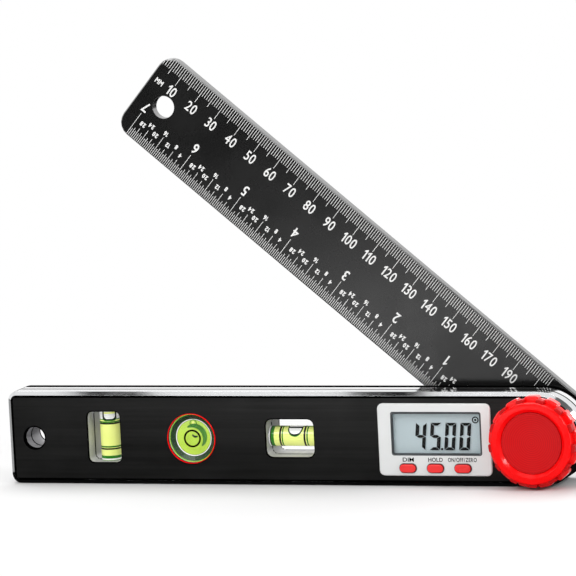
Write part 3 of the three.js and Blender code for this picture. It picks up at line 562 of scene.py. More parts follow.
lime_liquid = glowing("lime_liquid", (0.82, 0.93, 0.22), (0.92, 0.99, 0.32), 0.2)
eye_lime = glowing("eye_lime", (0.5, 0.8, 0.06), (0.62, 0.88, 0.1), 0.15)
dark_green = glowing("dark_green", (0.002, 0.03, 0.003), (0.008, 0.08, 0.007), 0.0, roughness=0.35)
eye_shade = glowing("eye_shade", (0.03, 0.2, 0.015), (0.12, 0.42, 0.03), 0.05, roughness=0.3)
green_shade = glowing("green_shade", (0.02, 0.2, 0.015), (0.05, 0.3, 0.03), 0.03)
bubble_white = glowing("bubble_white", (0.9, 0.92, 0.9), (0.97, 0.98, 0.96), 0.2)
black_line = moulded("black_line", (0.004, 0.006, 0.004), (0.008, 0.01, 0.008), 0.3, 0.4, depth=0.0)

# %% Display finishes
screen_grey = moulded("display_cell", (0.47, 0.57, 0.6), (0.53, 0.63, 0.66), 0.3, 0.4, depth=0.05)
segment_black = moulded(
    "segment_black", (0.001, 0.001, 0.001), (0.003, 0.003, 0.003), 0.5, 0.6, depth=0.0,
    Specular_IOR_Level=0.0,
)
segment_shadow = moulded("segment_shadow", (0.38, 0.46, 0.49), (0.42, 0.5, 0.53), 0.3, 0.4, depth=0.0)
# Painted shade: a dark grey for the bezel's window walls and for the rims round the window and the buttons.
screen_border = moulded("screen_border", (0.04, 0.045, 0.05), (0.06, 0.065, 0.07), 0.35, 0.45, depth=0.0)
clear_lens = start_finish("clear_lens", (0.9, 0.93, 0.93), 0.02, 0.05, Alpha=0.01, Specular_IOR_Level=0.1)[0]
clear_lens.surface_render_method = "BLENDED"

# %% [markdown]
# ## Pieces
#
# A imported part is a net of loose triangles, which shades as flat facets. `smooth_copy` takes the same
# points into a new mesh, merges them, dissolves the flat areas into single faces and shades every shallow
# edge smooth, and a small Bevel rounds the sharp edges so that they catch the light as real edges do.


# %% Helpers for pieces
crease_degrees = 32


def show(name, mesh, body, replaced=()):
    """Links a mesh as a piece that rides on a body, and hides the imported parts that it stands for."""
    piece = add_object(name, mesh)
    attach(piece, body)
    if replaced:
        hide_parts(*replaced)
    print(name + ":", len(mesh.polygons), "faces")
    return piece


def mesh_of(name, work, finishes=()):
    """Turns a bmesh into a mesh with these finishes, and frees the bmesh."""
    mesh = bpy.data.meshes.new(name)
    work.to_mesh(mesh)
    work.free()
    for finish in finishes:
        mesh.materials.append(finish)
    return mesh


def shade(work, crease=crease_degrees):
    """Smooth faces, with every edge that turns by more degrees than the crease kept sharp."""
    for face in work.faces:
        face.smooth = True
    for edge in work.edges:
        edge.smooth = edge.is_manifold and edge.calc_face_angle(0.0) < math.radians(crease)


def round_edges(piece, width):
    bevel = piece.modifiers.new("rounded_edges", "BEVEL")
    bevel.width = width
    bevel.segments = 2
    bevel.limit_method = "ANGLE"
    bevel.angle_limit = math.radians(crease_degrees)
    bevel.harden_normals = True


# %% Helper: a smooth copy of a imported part
merge_distance, flat_turn = 0.001 * mm, math.radians(0.8)


def looks_forward(face):
    """True for a face that looks to the front, at the camera."""
    return face.normal.y < -0.9


def looks_sideways(face):
    """True for the wall of a hole or an edge, which looks neither forward nor back."""
    return abs(face.normal.y) < 0.5


def smooth_copy(node, body, finishes, rounding=0.0, choose=None, border=0.0, prepare=None):
    """choose gives each face the number of its finish, and border insets the front faces by that width."""
    source = frame["nodes"][node].data
    work = bmesh.new()
    for vertex in source.vertices:
        work.verts.new(vertex.co)
    work.verts.ensure_lookup_table()
    for polygon in source.polygons:
        work.faces.new([work.verts[index] for index in polygon.vertices])
    bmesh.ops.remove_doubles(work, verts=work.verts, dist=merge_distance)
    bmesh.ops.dissolve_limit(work, angle_limit=flat_turn, verts=work.verts, edges=work.edges)
    if border:
        forward = [face for face in work.faces if looks_forward(face)]
        bmesh.ops.inset_region(work, faces=forward, thickness=border, use_even_offset=True, use_boundary=True)
    if prepare:
        prepare(work)
    shade(work)
    if choose:
        for face in work.faces:
            face.material_index = choose(face)
    name = node + "_finished"
    piece = show(name, mesh_of(name, work, finishes), body, [node])
    if rounding:
        round_edges(piece, rounding)


# %% [markdown]
# ### The body
#
# Two polished shells, a black brushed plate in front and a black moulded cover behind. The windows and the
# hang hole are milled through the metal, so their walls are duller. The plate's tapered cuts, a thin band
# round its edge and the shells' faces in the gap round it are painted deep black for the shade that lies
# there, and are the darkest lines of the front. A shell could be split by finish, but a finish number on
# each face keeps it one piece, as it is in the hand.

# %% Body
outer_skin = 2.2 * mm
hang_hole = Vector((-104.4 * mm, 0, 18.0 * mm))
hole_width, hole_search = 8.4 * mm, 5 * mm
hole_side = hang_hole.x + 6 * mm
sink_depth = -6.4 * mm
plate_low, plate_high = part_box("face_plate")
plate_shade_band = 0.5 * mm
end_radius = (plate_high.z - plate_low.z) / 2


def polished_or_milled(face):
    """0 for the outer skin, 1 for an opening's wall, 2 for the gap round the plate, painted deep black as shade,
    and the countersink.
    """
    centre = face.calc_center_median()
    inside = cad_low.x + outer_skin < centre.x < pivot.x and outer_skin < centre.z < 2 * pivot.z - outer_skin
    if inside and looks_sideways(face):
        return 2 if centre.x < hole_side and centre.y < sink_depth else 1
    return 2 if looks_forward(face) else 0


def split_hole(work):
    """Cuts the wall of the hang hole where its black countersink ends."""
    wall = [
        face for face in work.faces
        if looks_sideways(face) and (face.calc_center_median() - hang_hole).xz.length < hole_search
    ]
    parts = {item for face in wall for item in (*face.edges, *face.verts)} | set(wall)
    bmesh.ops.bisect_plane(work, geom=list(parts), plane_co=(0, sink_depth, 0), plane_no=(0, 1, 0))


def plate_or_gap(face):
    """0 for the plate's front and 1 for its tapered cuts and its outer band, both painted deep black as shade."""
    centre = face.calc_center_median()
    sides = (centre.x - plate_low.x, centre.z - plate_low.z, plate_high.z - centre.z)
    from_pivot = Vector((centre.x - pivot.x, centre.z - pivot.z)).length
    near_end = centre.x > pivot.x and from_pivot > end_radius - plate_shade_band
    return 0 if looks_forward(face) and min(sides) >= plate_shade_band and not near_end else 1


def back_or_edge(face):
    """0 for the cover's back and 1 for its edge, the dark line along the rear of the top."""
    return 0 if face.normal.y > 0.3 else 1


shell_edge = 0.12 * mm
# The shells' forward faces lie in the gap round the plate and are painted deep black, as shade.
smooth_copy(
    "front_shell", "body", [polished_metal, cut_metal, deep_black], shell_edge,
    choose=polished_or_milled, prepare=split_hole,
)
smooth_copy(
    "rear_shell", "body", [rear_metal, cut_metal, deep_black], shell_edge,
    choose=polished_or_milled,
)
# The tapered cuts and a band round the plate's edge are painted deep black, as shade.
smooth_copy(
    "face_plate", "body", [face_black, deep_black], choose=plate_or_gap, border=plate_shade_band,
)
smooth_copy("rear_cover", "body", [cover_black, deep_black], 0.1 * mm, choose=back_or_edge)
smooth_copy("battery_cap", "cap", [cover_black], 0.1 * mm)

# %% [markdown]
# ### The arm
#
# The arm is an extruded bar with black faces. Its edges and holes are cut through the black, so they show
# bare metal: a face of the copy that looks forward or back takes the black, and every other face the bare
# metal.


# %% Arm
def black_or_bare(face):
    return 0 if abs(face.normal.y) > 0.9 else 1


smooth_copy("ruler_arm", "arm", [arm_black, bare_edge], 0.35 * mm, choose=black_or_bare)
smooth_copy("pivot_bolt", "arm", [steel], 0.1 * mm)

# %% [markdown]
# ### Lathe work
#
# The knob, the screws, the vials and their bands are all turned shapes. A Screw modifier would turn one
# curve in one finish. `add_lathe` spins a closed profile of radius and height round an axis, with a fan of
# triangles where the profile touches the axis, and so many turned shapes and finishes can share one mesh.


# %% Helpers for turned shapes
AXES = {
    "X": (Vector((0, 1, 0)), Vector((0, 0, 1)), Vector((1, 0, 0))),
    "Y": (Vector((1, 0, 0)), Vector((0, 0, 1)), Vector((0, 1, 0))),
    "Z": (Vector((1, 0, 0)), Vector((0, 1, 0)), Vector((0, 0, 1))),
}


def add_lathe(work, profile, centre, axis="Y", steps=96, material=0):
    """profile is a closed line of (radius, height) pairs. material is one index, or a list of them."""
    side, other, along = AXES[axis]
    turns = [2 * math.pi * step / steps for step in range(steps)]
    rings = []
    for radius, height in profile:
        middle = Vector(centre) + along * height
        if radius == 0:
            rings.append([work.verts.new(middle)])
            continue
        rings.append([
            work.verts.new(middle + side * radius * math.cos(turn) + other * radius * math.sin(turn))
            for turn in turns
        ])
    for index, ring in enumerate(rings):
        following = rings[(index + 1) % len(rings)]
        if len(ring) == 1 and len(following) == 1:
            continue
        zone = material[index] if isinstance(material, list) else material
        for step in range(steps):
            after = (step + 1) % steps
            if len(ring) == 1:
                corners = [ring[0], following[step], following[after]]
            elif len(following) == 1:
                corners = [ring[step], following[0], ring[after]]
            else:
                corners = [ring[step], following[step], following[after], ring[after]]
            work.faces.new(corners).material_index = zone


def add_ring(work, centre, inner, outer, front, rear, axis="Y", steps=96, material=0):
    """A square-edged ring between two radii and two depths. With no inner radius it is a disc."""
    profile = [(inner, front), (outer, front), (outer, rear), (inner, rear)]
    add_lathe(work, profile, centre, axis, steps, material)


def fillet(radius_at, height_at, size, start, steps=5):
    """Points of a quarter round. The start, in degrees, is where on its circle the fillet begins."""
    turns = [math.radians(start + 90 * step / steps) for step in range(steps + 1)]
    return [(radius_at + size * math.cos(turn), height_at + size * math.sin(turn)) for turn in turns]


def finish_piece(name, work, body, finishes, replaced=()):
    """Turns a bmesh into a shaded piece with its faces pointing out."""
    bmesh.ops.recalc_face_normals(work, faces=work.faces)
    shade(work)
    show(name, mesh_of(name, work, finishes), body, replaced)


# %% [markdown]
# ### The lock knob
#
# The knob is a drum with thirteen grip lugs and a smaller block in each gap between them. The drum is
# turned. The rest repeats round it, so Geometry Nodes place one lug, one block and one inner rib on the
# points of a circle, turn each copy to face out and realize them as mesh. Lugs and ribs become one piece,
# and the blocks between the lugs, painted a darker red as shade, another.

# %% Knob drum
knob_low, knob_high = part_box("lock_knob")
cap_low, cap_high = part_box("knob_cap")
insert_low, insert_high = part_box("knob_insert")
knob_centre = (pivot.x, 0.0, pivot.z)
knob_front, knob_back = knob_low.y, knob_high.y
knob = {
    "face": 15.5 * mm,
    "grip": 17.4 * mm,
    "base": 16.3 * mm,
    "shoulder": 4.0 * mm,
    "lip": 0.5 * mm,
    "recess": (cap_high.x - cap_low.x) / 2 + 0.15 * mm,
    "flare": 1.2 * mm,
    "mouth_edge": 0.12 * mm,
    "roof": 1.65 * mm,
    "skirt": 14.5 * mm,
    "boss": (insert_high.x - insert_low.x) / 2 + 1.7 * mm,
    "bore": (insert_high.x - insert_low.x) / 2 + 0.1 * mm,
    "chamfer": 0.2 * mm,
    "back_chamfer": 0.3 * mm,
}
recess_back = cap_high.y + 0.05 * mm
roof_back = cap_high.y + knob["roof"]
shoulder_back = knob_front + knob["shoulder"]
mouth = knob["recess"] + knob["flare"]
drum_profile = [
    (0, recess_back),
    (knob["recess"], recess_back),
    (knob["recess"], cap_low.y + knob["chamfer"]),
    (mouth - knob["mouth_edge"], knob_front + knob["chamfer"]),
    (mouth + knob["mouth_edge"], knob_front),
    *fillet(knob["face"] - knob["lip"], knob_front + knob["lip"], knob["lip"], -90),
    (knob["face"], shoulder_back),
    (knob["base"] - knob["chamfer"], shoulder_back),
    (knob["base"], shoulder_back + knob["chamfer"]),
    (knob["base"], knob_back - knob["back_chamfer"]),
    (knob["base"] - knob["back_chamfer"], knob_back),
    (knob["skirt"], knob_back),
    (knob["skirt"], roof_back),
    (knob["boss"], roof_back),
    (knob["boss"], knob_back),
    (knob["bore"], knob_back),
    (knob["bore"], roof_back),
    (0, roof_back),
]
drum_work = bmesh.new()
add_lathe(drum_work, drum_profile, knob_centre)
finish_piece("lock_knob_drum", drum_work, "knob", [knob_red], ["lock_knob"])

# %% Grip lug, block and rib, each centred on the X axis
lugs, ribs = 13, 6
lug_pitch = 2 * math.pi / lugs
lug_half = 0.66 * lug_pitch / 2
gap_half = lug_pitch / 2 - lug_half + 0.01
rib_half = 0.5 * mm / knob["skirt"]


def copy_source(name, work, crease=None):
    """A closed shape as an object, to be copied or to carve with. Without a crease its faces stay flat."""
    bmesh.ops.recalc_face_normals(work, faces=work.faces)
    if crease:
        shade(work, crease)
    return add_object(name, mesh_of(name, work))


def sector_object(name, half_turn, inner, outer, front, rear, soft):
    """A block between two radii and two depths, with softened outer edges."""
    steps, flat_share = 8, 0.75
    work = bmesh.new()
    rows = []
    for depth, inset in ((front, soft), (front + soft, 0.0), (rear - soft, 0.0), (rear, soft)):
        section = []
        for step in range(steps + 1):
            share = 2 * step / steps - 1
            edge_drop = soft * max(0.0, abs(share) - flat_share) / (1 - flat_share)
            section.append((half_turn * share, outer - inset - edge_drop))
        section += [(half_turn, inner), (-half_turn, inner)]
        rows.append([
            work.verts.new((radius * math.cos(turn), depth, radius * math.sin(turn)))
            for turn, radius in section
        ])
    for lower, upper in zip(rows, rows[1:]):
        for index in range(len(lower)):
            after = (index + 1) % len(lower)
            work.faces.new([lower[index], lower[after], upper[after], upper[index]])
    work.faces.new(rows[0])
    work.faces.new(rows[-1])
    return copy_source(name, work, 25)


lug_inner = knob["base"] - 1.4 * mm
lug_object = sector_object(
    "grip_lug", lug_half, lug_inner, knob["grip"], shoulder_back - 0.05 * mm, knob_back, 0.4 * mm,
)
block_object = sector_object(
    "gap_block", gap_half, lug_inner, 16.8 * mm, knob_front + 1.0 * mm, knob_front + 4.8 * mm, 0.3 * mm,
)
rib_object = sector_object(
    "inner_rib", rib_half, knob["boss"] - 0.3 * mm, knob["skirt"] + 0.3 * mm,
    roof_back - 0.2 * mm, knob_back - 0.4 * mm, 0.05 * mm,
)
print("lug pitch in degrees:", round(math.degrees(lug_pitch), 2))

# %% [markdown]
# The tree below adds a ring of copies to the mesh that it is given. An instance's turn is its index times
# the pitch, about the Y axis. The whole mesh gets one finish at the end, so pieces in different reds are
# grown apart.


# %% Geometry Nodes: a ring of copies
def finish_tree(tree, geometry, finish, result):
    """The end of every tree: the copies become real mesh and get their finish."""
    real = put(tree, "GeometryNodeRealizeInstances", {"Geometry": geometry})
    dyed = put(tree, "GeometryNodeSetMaterial", {"Geometry": real.outputs[0], "Material": finish})
    tree.links.new(dyed.outputs[0], result["Geometry"])


ring_tree, given, result = new_group(
    "ring_of_copies", "GeometryNodeTree",
    [("Geometry", "geometry"), ("Copy", "object"), ("Count", "int", lugs), ("Centre", "vector"),
     ("Start", "float", 0.0), ("Finish", "material")],
    [("Geometry", "geometry")],
)
spots = put(ring_tree, "GeometryNodeMeshLine", {"Count": given["Count"], "Offset": (0.0, 0.0, 0.0)})
copy_info = put(ring_tree, "GeometryNodeObjectInfo", {"Object": given["Copy"]})
copy_index = put(ring_tree, "GeometryNodeInputIndex").outputs[0]
turn_share = calculate(ring_tree, "DIVIDE", copy_index, given["Count"])
turn_angle = calculate(ring_tree, "MULTIPLY_ADD", turn_share, 2 * math.pi, given["Start"])
placed = put(ring_tree, "GeometryNodeInstanceOnPoints", {
    "Points": spots.outputs[0], "Instance": copy_info.outputs["Geometry"],
    "Rotation": combine(ring_tree, Y=turn_angle),
})
centred = put(ring_tree, "GeometryNodeTransform", {
    "Geometry": placed.outputs[0], "Translation": given["Centre"],
})
joined = put(ring_tree, "GeometryNodeJoinGeometry", {0: centred.outputs[0]})
ring_tree.links.new(given["Geometry"], joined.inputs[0])
finish_tree(ring_tree, joined.outputs[0], given["Finish"], result)
print("ring of copies:", len(ring_tree.nodes), "nodes")


# %% Helper: run a tree on a mesh and keep the result as a plain mesh
def grow(name, tree, values, start_mesh=None):
    """Runs a Geometry Nodes tree. Inputs are set by the identifier of the socket with the given name."""
    carrier = add_object(name, start_mesh or bpy.data.meshes.new(name))
    modifier = carrier.modifiers.new(name, "NODES")
    modifier.node_group = tree
    sockets = {item.name: item.identifier for item in tree.interface.items_tree if item.in_out == "INPUT"}
    for label, value in values.items():
        modifier[sockets[label]] = value
    bpy.context.view_layer.update()
    evaluated = carrier.evaluated_get(bpy.context.evaluated_depsgraph_get())
    mesh = bpy.data.meshes.new_from_object(evaluated)
    carrier.modifiers.remove(modifier)
    bpy.data.objects.remove(carrier)
    return mesh


# %% Grip, gaps and cap
up_turn = -math.pi / 2
for piece, finish, rings in (
    ("lock_knob_grip", knob_grip, [(lug_object, lugs, up_turn), (rib_object, ribs, 0.0)]),
    ("lock_knob_gaps", knob_gap_shade, [(block_object, lugs, up_turn + lug_pitch / 2)]),
):
    ring_mesh = None
    for source, count, start in rings:
        ring_mesh = grow(piece, ring_tree, {
            "Copy": source, "Count": count, "Centre": knob_centre, "Start": start, "Finish": finish,
        }, ring_mesh)
        bpy.data.objects.remove(source)
    show(piece, ring_mesh, "knob")
smooth_copy("knob_cap", "knob", [disc_red], 0.1 * mm)

# %% [markdown]
# ### The joints of the body
#
# The joint of the two shells runs round the walls of both windows and the hang hole as a dark line, and so
# does the joint with the cover. Along the outside the same two joints show as thin dark seams, and round
# the front of the hang hole lies the dark edge of its countersink. A groove would have to be cut into every
# shell, so each line is a thin frame that lies on the wall.


# %% Helpers for flat shapes
def rounded_outline(x, z, width, height, radius, steps=6):
    """Points of a rounded rectangle, counter-clockwise."""
    points = []
    for index, (side_x, side_z) in enumerate(((1, -1), (1, 1), (-1, 1), (-1, -1))):
        for step in range(steps + 1):
            turn = math.radians(90 * (index - 1) + 90 * step / steps)
            points.append((
                x + side_x * (width / 2 - radius) + radius * math.cos(turn),
                z + side_z * (height / 2 - radius) + radius * math.sin(turn),
            ))
    return points


def add_frame(work, outer, inner, front, rear):
    """A flat frame between two outlines of equally many points."""
    rows = [[work.verts.new((x, depth, z)) for x, z in outline]
            for outline, depth in ((outer, front), (inner, front), (inner, rear), (outer, rear))]
    for index in range(len(outer)):
        after = (index + 1) % len(outer)
        for row in range(4):
            one, two = rows[row], rows[(row + 1) % 4]
            work.faces.new([one[index], two[index], two[after], one[after]])


# %% Joint lines inside the openings
# Each opening has the X and Z of its centre, its width and height, and the radius of its corners.
openings = {
    "plumb window": (-75.67 * mm, 18.4 * mm, 13.1 * mm, 19.6 * mm, 1.9 * mm),
    "level window": (-0.32 * mm, 18.2 * mm, 19.0 * mm, 14.5 * mm, 2.4 * mm),
    "hang hole": (hang_hole.x, hang_hole.z, hole_width, hole_width, hole_width / 2 - 0.01 * mm),
}
shell_joint_y = (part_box("front_shell")[1].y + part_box("rear_shell")[0].y) / 2
line_half, on_wall = 0.42 * mm, 0.05 * mm
cover_line_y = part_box("rear_shell")[1].y - line_half
joint_work = bmesh.new()
for x, z, width, height, corner in openings.values():
    outer_line = rounded_outline(x, z, width, height, corner, 8)
    inner_line = rounded_outline(x, z, width - 2 * on_wall, height - 2 * on_wall, corner - on_wall, 8)
    for line_y in (shell_joint_y, cover_line_y):
        add_frame(joint_work, outer_line, inner_line, line_y - line_half, line_y + line_half)
hole_edge = hole_width / 2
add_ring(
    joint_work, hang_hole, hole_edge, hole_edge + 0.5 * mm, plate_low.y - on_wall, plate_low.y + on_wall,
)
print("joint lines run round:", ", ".join(openings))


# %% Seams along the outside
def outline_of(node, depth):
    """The outer outline of a part's flat side at a depth, as points in X and Z."""
    flat = bmesh.new()
    flat.from_mesh(frame["nodes"][node].data)
    bmesh.ops.remove_doubles(flat, verts=flat.verts, dist=merge_distance)
    level = {face for face in flat.faces if abs(face.calc_center_median().y - depth) < 0.01 * mm}
    rim = {
        edge for face in level for edge in face.edges
        if sum(other in level for other in edge.link_faces) == 1
    }
    start = min((vertex for edge in rim for vertex in edge.verts), key=lambda vertex: vertex.co.xz[:])
    points, here, before = [], start, None
    while not points or here is not start:
        points.append((here.co.x, here.co.z))
        before = next(edge for edge in here.link_edges if edge in rim and edge is not before)
        here = before.other_vert(here)
    flat.free()
    return points


def moved_out(points, distance):
    """The same closed outline, moved outwards by a distance."""
    ahead, behind_each = points[1:] + points[:1], points[-1:] + points[:-1]
    area = sum(a[0] * b[1] - b[0] * a[1] for a, b in zip(points, ahead))
    sign = 1 if area > 0 else -1
    moved = []
    for before, here, after in zip(behind_each, points, ahead):
        run = Vector((after[0] - before[0], after[1] - before[1])).normalized()
        moved.append((here[0] + sign * distance * run.y, here[1] - sign * distance * run.x))
    return moved


body_line = outline_of("rear_shell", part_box("rear_shell")[0].y)
seam_half, proud = 0.45 * mm, 0.04 * mm
cover_seam_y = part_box("rear_cover")[0].y - seam_half
for seam_y in (shell_joint_y, cover_seam_y):
    add_frame(
        joint_work, moved_out(body_line, proud), moved_out(body_line, -proud),
        seam_y - seam_half, seam_y + seam_half,
    )
print("body outline:", len(body_line), "points")
finish_piece("joint_lines", joint_work, "body", [deep_black])

# %% [markdown]
# ### Case screws
#
# Six countersunk screws hold the layers together. One screw is turned, a cross is carved into its head, and
# Geometry Nodes place a copy on each point of a small net of six points, which the frame's own screws give.


# %% One case screw
def add_block(work, low, high):
    corners = [
        work.verts.new((x, y, z))
        for x in (low[0], high[0]) for y in (low[1], high[1]) for z in (low[2], high[2])
    ]
    for side in ((0, 1, 3, 2), (4, 6, 7, 5), (0, 4, 5, 1), (2, 3, 7, 6), (0, 2, 6, 4), (1, 5, 7, 3)):
        work.faces.new([corners[index] for index in side])


screw_nodes = sorted(name for name in frame["nodes"] if name.startswith("case_screw_"))
screw_low, screw_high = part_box(screw_nodes[0])
screw = {
    "head": (screw_high.x - screw_low.x) / 2,
    "head_depth": 1.3 * mm,
    "head_edge": 0.15 * mm,
    "chamfer": 0.1 * mm,
    "shank": 1.1 * mm,
    "tip": 0.8 * mm,
    "cross_reach": 1.35 * mm,
    "cross_width": 0.55 * mm,
    "cross_depth": 0.7 * mm,
}
screw_work = bmesh.new()
add_lathe(screw_work, [
    (0, screw_low.y),
    (screw["shank"] / 2, screw_low.y),
    (screw["shank"], screw_low.y + screw["tip"]),
    (screw["shank"], screw_high.y - screw["head_depth"]),
    (screw["head"], screw_high.y - screw["head_edge"]),
    (screw["head"] - screw["chamfer"], screw_high.y),
    (0, screw_high.y),
], (0, 0, 0), steps=32)
screw_object = copy_source("screw", screw_work, crease_degrees)
cross_work = bmesh.new()
cross_low, cross_high = screw_high.y - screw["cross_depth"], screw_high.y + screw["cross_depth"]
long_side, short_side = screw["cross_reach"], screw["cross_width"] / 2
for x, z in ((long_side, short_side), (short_side, long_side)):
    add_block(cross_work, (-x, cross_low, -z), (x, cross_high, z))
cross_object = copy_source("screw_cross", cross_work)
carve = screw_object.modifiers.new("cross", "BOOLEAN")
carve.object = cross_object
carve.operation = "DIFFERENCE"
carve.solver = "EXACT"
carve.use_self = True
print("screw head in mm:", round(2 * screw["head"] / mm, 2))

# %% Geometry Nodes: copies on points
points_tree, given, result = new_group(
    "copies_on_points", "GeometryNodeTree",
    [("Geometry", "geometry"), ("Copy", "object"), ("Finish", "material")],
    [("Geometry", "geometry")],
)
point_copy = put(points_tree, "GeometryNodeObjectInfo", {"Object": given["Copy"]})
on_points = put(points_tree, "GeometryNodeInstanceOnPoints", {
    "Points": given["Geometry"], "Instance": point_copy.outputs["Geometry"],
})
finish_tree(points_tree, on_points.outputs[0], given["Finish"], result)

screw_places = [box_centre(name) for name in screw_nodes]
screw_net = bpy.data.meshes.new("screw_places")
screw_net.from_pydata([(place.x, 0.0, place.z) for place in screw_places], [], [])
screws_mesh = grow("case_screws_finished", points_tree, {"Copy": screw_object, "Finish": steel}, screw_net)
bpy.data.objects.remove(screw_object)
bpy.data.objects.remove(cross_object)
show("case_screws_finished", screws_mesh, "body", screw_nodes)
print("screws:", len(screw_places))

# %% [markdown]
# ### Tube vials
#
# Each vial is a rod of glowing liquid. Thin bands round it stand for the printed rings, with a green line
# beside each, painted shade where the ring is seen again through the liquid. A bubble is a thin patch that
# follows the tube's surface, with an outline drawn as a wider patch below it. A picture could carry all
# this, but patches stay sharp.


# %% Helpers for vials
soft_edge = 0.4 * mm
vial_finishes = [lime_liquid, green_shade, bubble_white, black_line]
LIME, GREEN, WHITE, BLACK = range(4)


def add_band(work, centre, axis, radius, at, width, material, proud=0.03):
    """A thin ring round a tube, at a place along its axis."""
    sunk, rise = 0.06 * mm, proud * mm
    add_ring(work, centre, radius - sunk, radius + rise, at - width / 2, at + width / 2, axis, 64, material)


def start_vial(node, axis, bands):
    """A vial's rod with its bands, each a (place, width, finish). Gives the bmesh and where the tube lies."""
    low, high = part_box(node)
    number = "XYZ".index(axis)
    radius = sorted(high - low)[1] / 2
    centre = (low + high) / 2
    centre[number] = 0
    work = bmesh.new()
    add_lathe(work, [
        (0, low[number]),
        *fillet(radius - soft_edge, low[number] + soft_edge, soft_edge, -90),
        *fillet(radius - soft_edge, high[number] - soft_edge, soft_edge, 0),
        (0, high[number]),
    ], centre, axis, 64)
    for place, width, zone in bands:
        add_band(work, centre, axis, radius, place * mm, width * mm, zone)
    return work, (centre, axis, radius)


def divided(outline, longest):
    """The same closed outline with no side longer than the given length."""
    points = []
    for one, two in zip(outline, outline[1:] + outline[:1]):
        parts = max(1, math.ceil(math.dist(one, two) / longest))
        points += [tuple(a + (b - a) * part / parts for a, b in zip(one, two)) for part in range(parts)]
    return points


def add_patch(work, centre, axis, radius, facing, outline, height, material):
    """A thin patch on a tube. The outline is (along, sideways) as seen from the facing direction."""
    side, other, along = AXES[axis]
    rings, sunk = 8, 0.08 * mm
    outline = divided(outline, 0.35 * mm)
    middle_along = sum(point[0] for point in outline) / len(outline)
    middle_side = sum(point[1] for point in outline) / len(outline)

    def spot(share, point, lift):
        position = middle_along + (point[0] - middle_along) * share
        sideways = middle_side + (point[1] - middle_side) * share
        angle = facing + math.asin(max(-1.0, min(1.0, sideways / radius)))
        outward = side * math.cos(angle) + other * math.sin(angle)
        return work.verts.new(Vector(centre) + along * position + outward * (radius + lift))

    top, bottom = spot(0, outline[0], height), spot(0, outline[0], -sunk)
    chain = [[spot(ring / rings, point, height) for point in outline] for ring in range(1, rings + 1)]
    chain += [[spot(ring / rings, point, -sunk) for point in outline] for ring in range(rings, 0, -1)]
    for step in range(len(outline)):
        after = (step + 1) % len(outline)
        work.faces.new([top, chain[0][step], chain[0][after]]).material_index = material
        work.faces.new([bottom, chain[-1][after], chain[-1][step]]).material_index = material
        for near, far in zip(chain, chain[1:]):
            work.faces.new([near[step], far[step], far[after], near[after]]).material_index = material


# %% Plumb vial
plumb_work, plumb_tube = start_vial("plumb_vial", "Z", (
    (23.05, 0.62, BLACK), (23.65, 0.5, GREEN), (13.15, 0.62, BLACK), (14.0, 0.6, GREEN),
    (9.95, 1.1, GREEN), (9.1, 0.55, WHITE), (8.5, 0.5, GREEN),
))
plumb_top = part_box("plumb_vial")[1].z
empty_low = 24.75 * mm
empty_length = plumb_top - 1.0 * mm - empty_low
add_band(plumb_work, *plumb_tube, empty_low - 0.12 * mm, 0.3 * mm, GREEN, proud=0.025)
add_band(plumb_work, *plumb_tube, empty_low + empty_length / 2, empty_length, WHITE, proud=0.02)
for facing in (azimuth - math.pi / 2, azimuth + math.pi / 2):
    for patch_low, width, lift, zone in (
        (24.0, 5.3, 0.04, GREEN), (24.4, 5.3, 0.06, BLACK), (24.86, 4.1, 0.09, WHITE),
    ):
        height = plumb_top - 2.0 * mm - patch_low * mm
        outline = rounded_outline(patch_low * mm + height / 2, 0.0, height, width * mm, 1.2 * mm)
        add_patch(plumb_work, *plumb_tube, facing, outline, lift * mm, zone)
    bubble_lid = rounded_outline(27.25 * mm, 0.0, 0.7 * mm, 4.1 * mm, 0.3 * mm)
    add_patch(plumb_work, *plumb_tube, facing, bubble_lid, 0.11 * mm, LIME)
finish_piece("plumb_vial_finished", plumb_work, "body", vial_finishes, ["plumb_vial"])

# %% Level vial
level_work, level_tube = start_vial("level_vial", "X", (
    (-5.36, 0.75, BLACK), (-4.45, 0.5, GREEN), (4.45, 0.75, BLACK), (5.5, 0.55, GREEN),
    (-8.48, 1.2, GREEN), (-9.25, 0.4, BLACK), (-9.85, 0.75, WHITE), (-10.5, 0.5, GREEN),
))
bubble_x = 0.56 * mm


def half_moon(middle, half_length, top, bottom, steps=24):
    """A flat edge on top and half an oval below it, as (along, up) points."""
    points = []
    for step in range(steps + 1):
        turn = math.pi * step / steps
        points.append((middle + half_length * math.cos(turn), top + (bottom - top) * math.sin(turn) ** 0.9))
    return points


level_patches = [
    (rounded_outline(1.6 * mm, 3.66 * mm, 19.0 * mm, 0.24 * mm, 0.1 * mm), 0.02, GREEN),
    (rounded_outline(bubble_x, 3.4 * mm, 5.2 * mm, 0.9 * mm, 0.3 * mm), 0.03, WHITE),
    (half_moon(bubble_x, 3.0 * mm, 3.3 * mm, -0.25 * mm), 0.04, GREEN),
    (half_moon(bubble_x, 2.95 * mm, 3.45 * mm, 0.1 * mm), 0.07, BLACK),
    (half_moon(bubble_x, 2.5 * mm, 2.95 * mm, 0.75 * mm), 0.1, WHITE),
]
for facing, upward in ((math.pi - elevation, -1), (elevation, 1)):
    for outline, lift, zone in level_patches:
        seen_outline = [(along, upward * rise) for along, rise in outline]
        add_patch(level_work, *level_tube, facing, seen_outline, lift * mm, zone)
finish_piece("level_vial_finished", level_work, "body", vial_finishes, ["level_vial"])

# %% [markdown]
# ### Round vial
#
# Inside a red ring lies a cup with a clear lid. From outside in it shows a pale green rim, a dark wall and
# the glowing disc. The disc lies deeper than the rim, so the wall shows more on the side that the camera
# looks past, which a flat picture could not do. The target circle is printed under the lid, and the bubble
# floats against it.

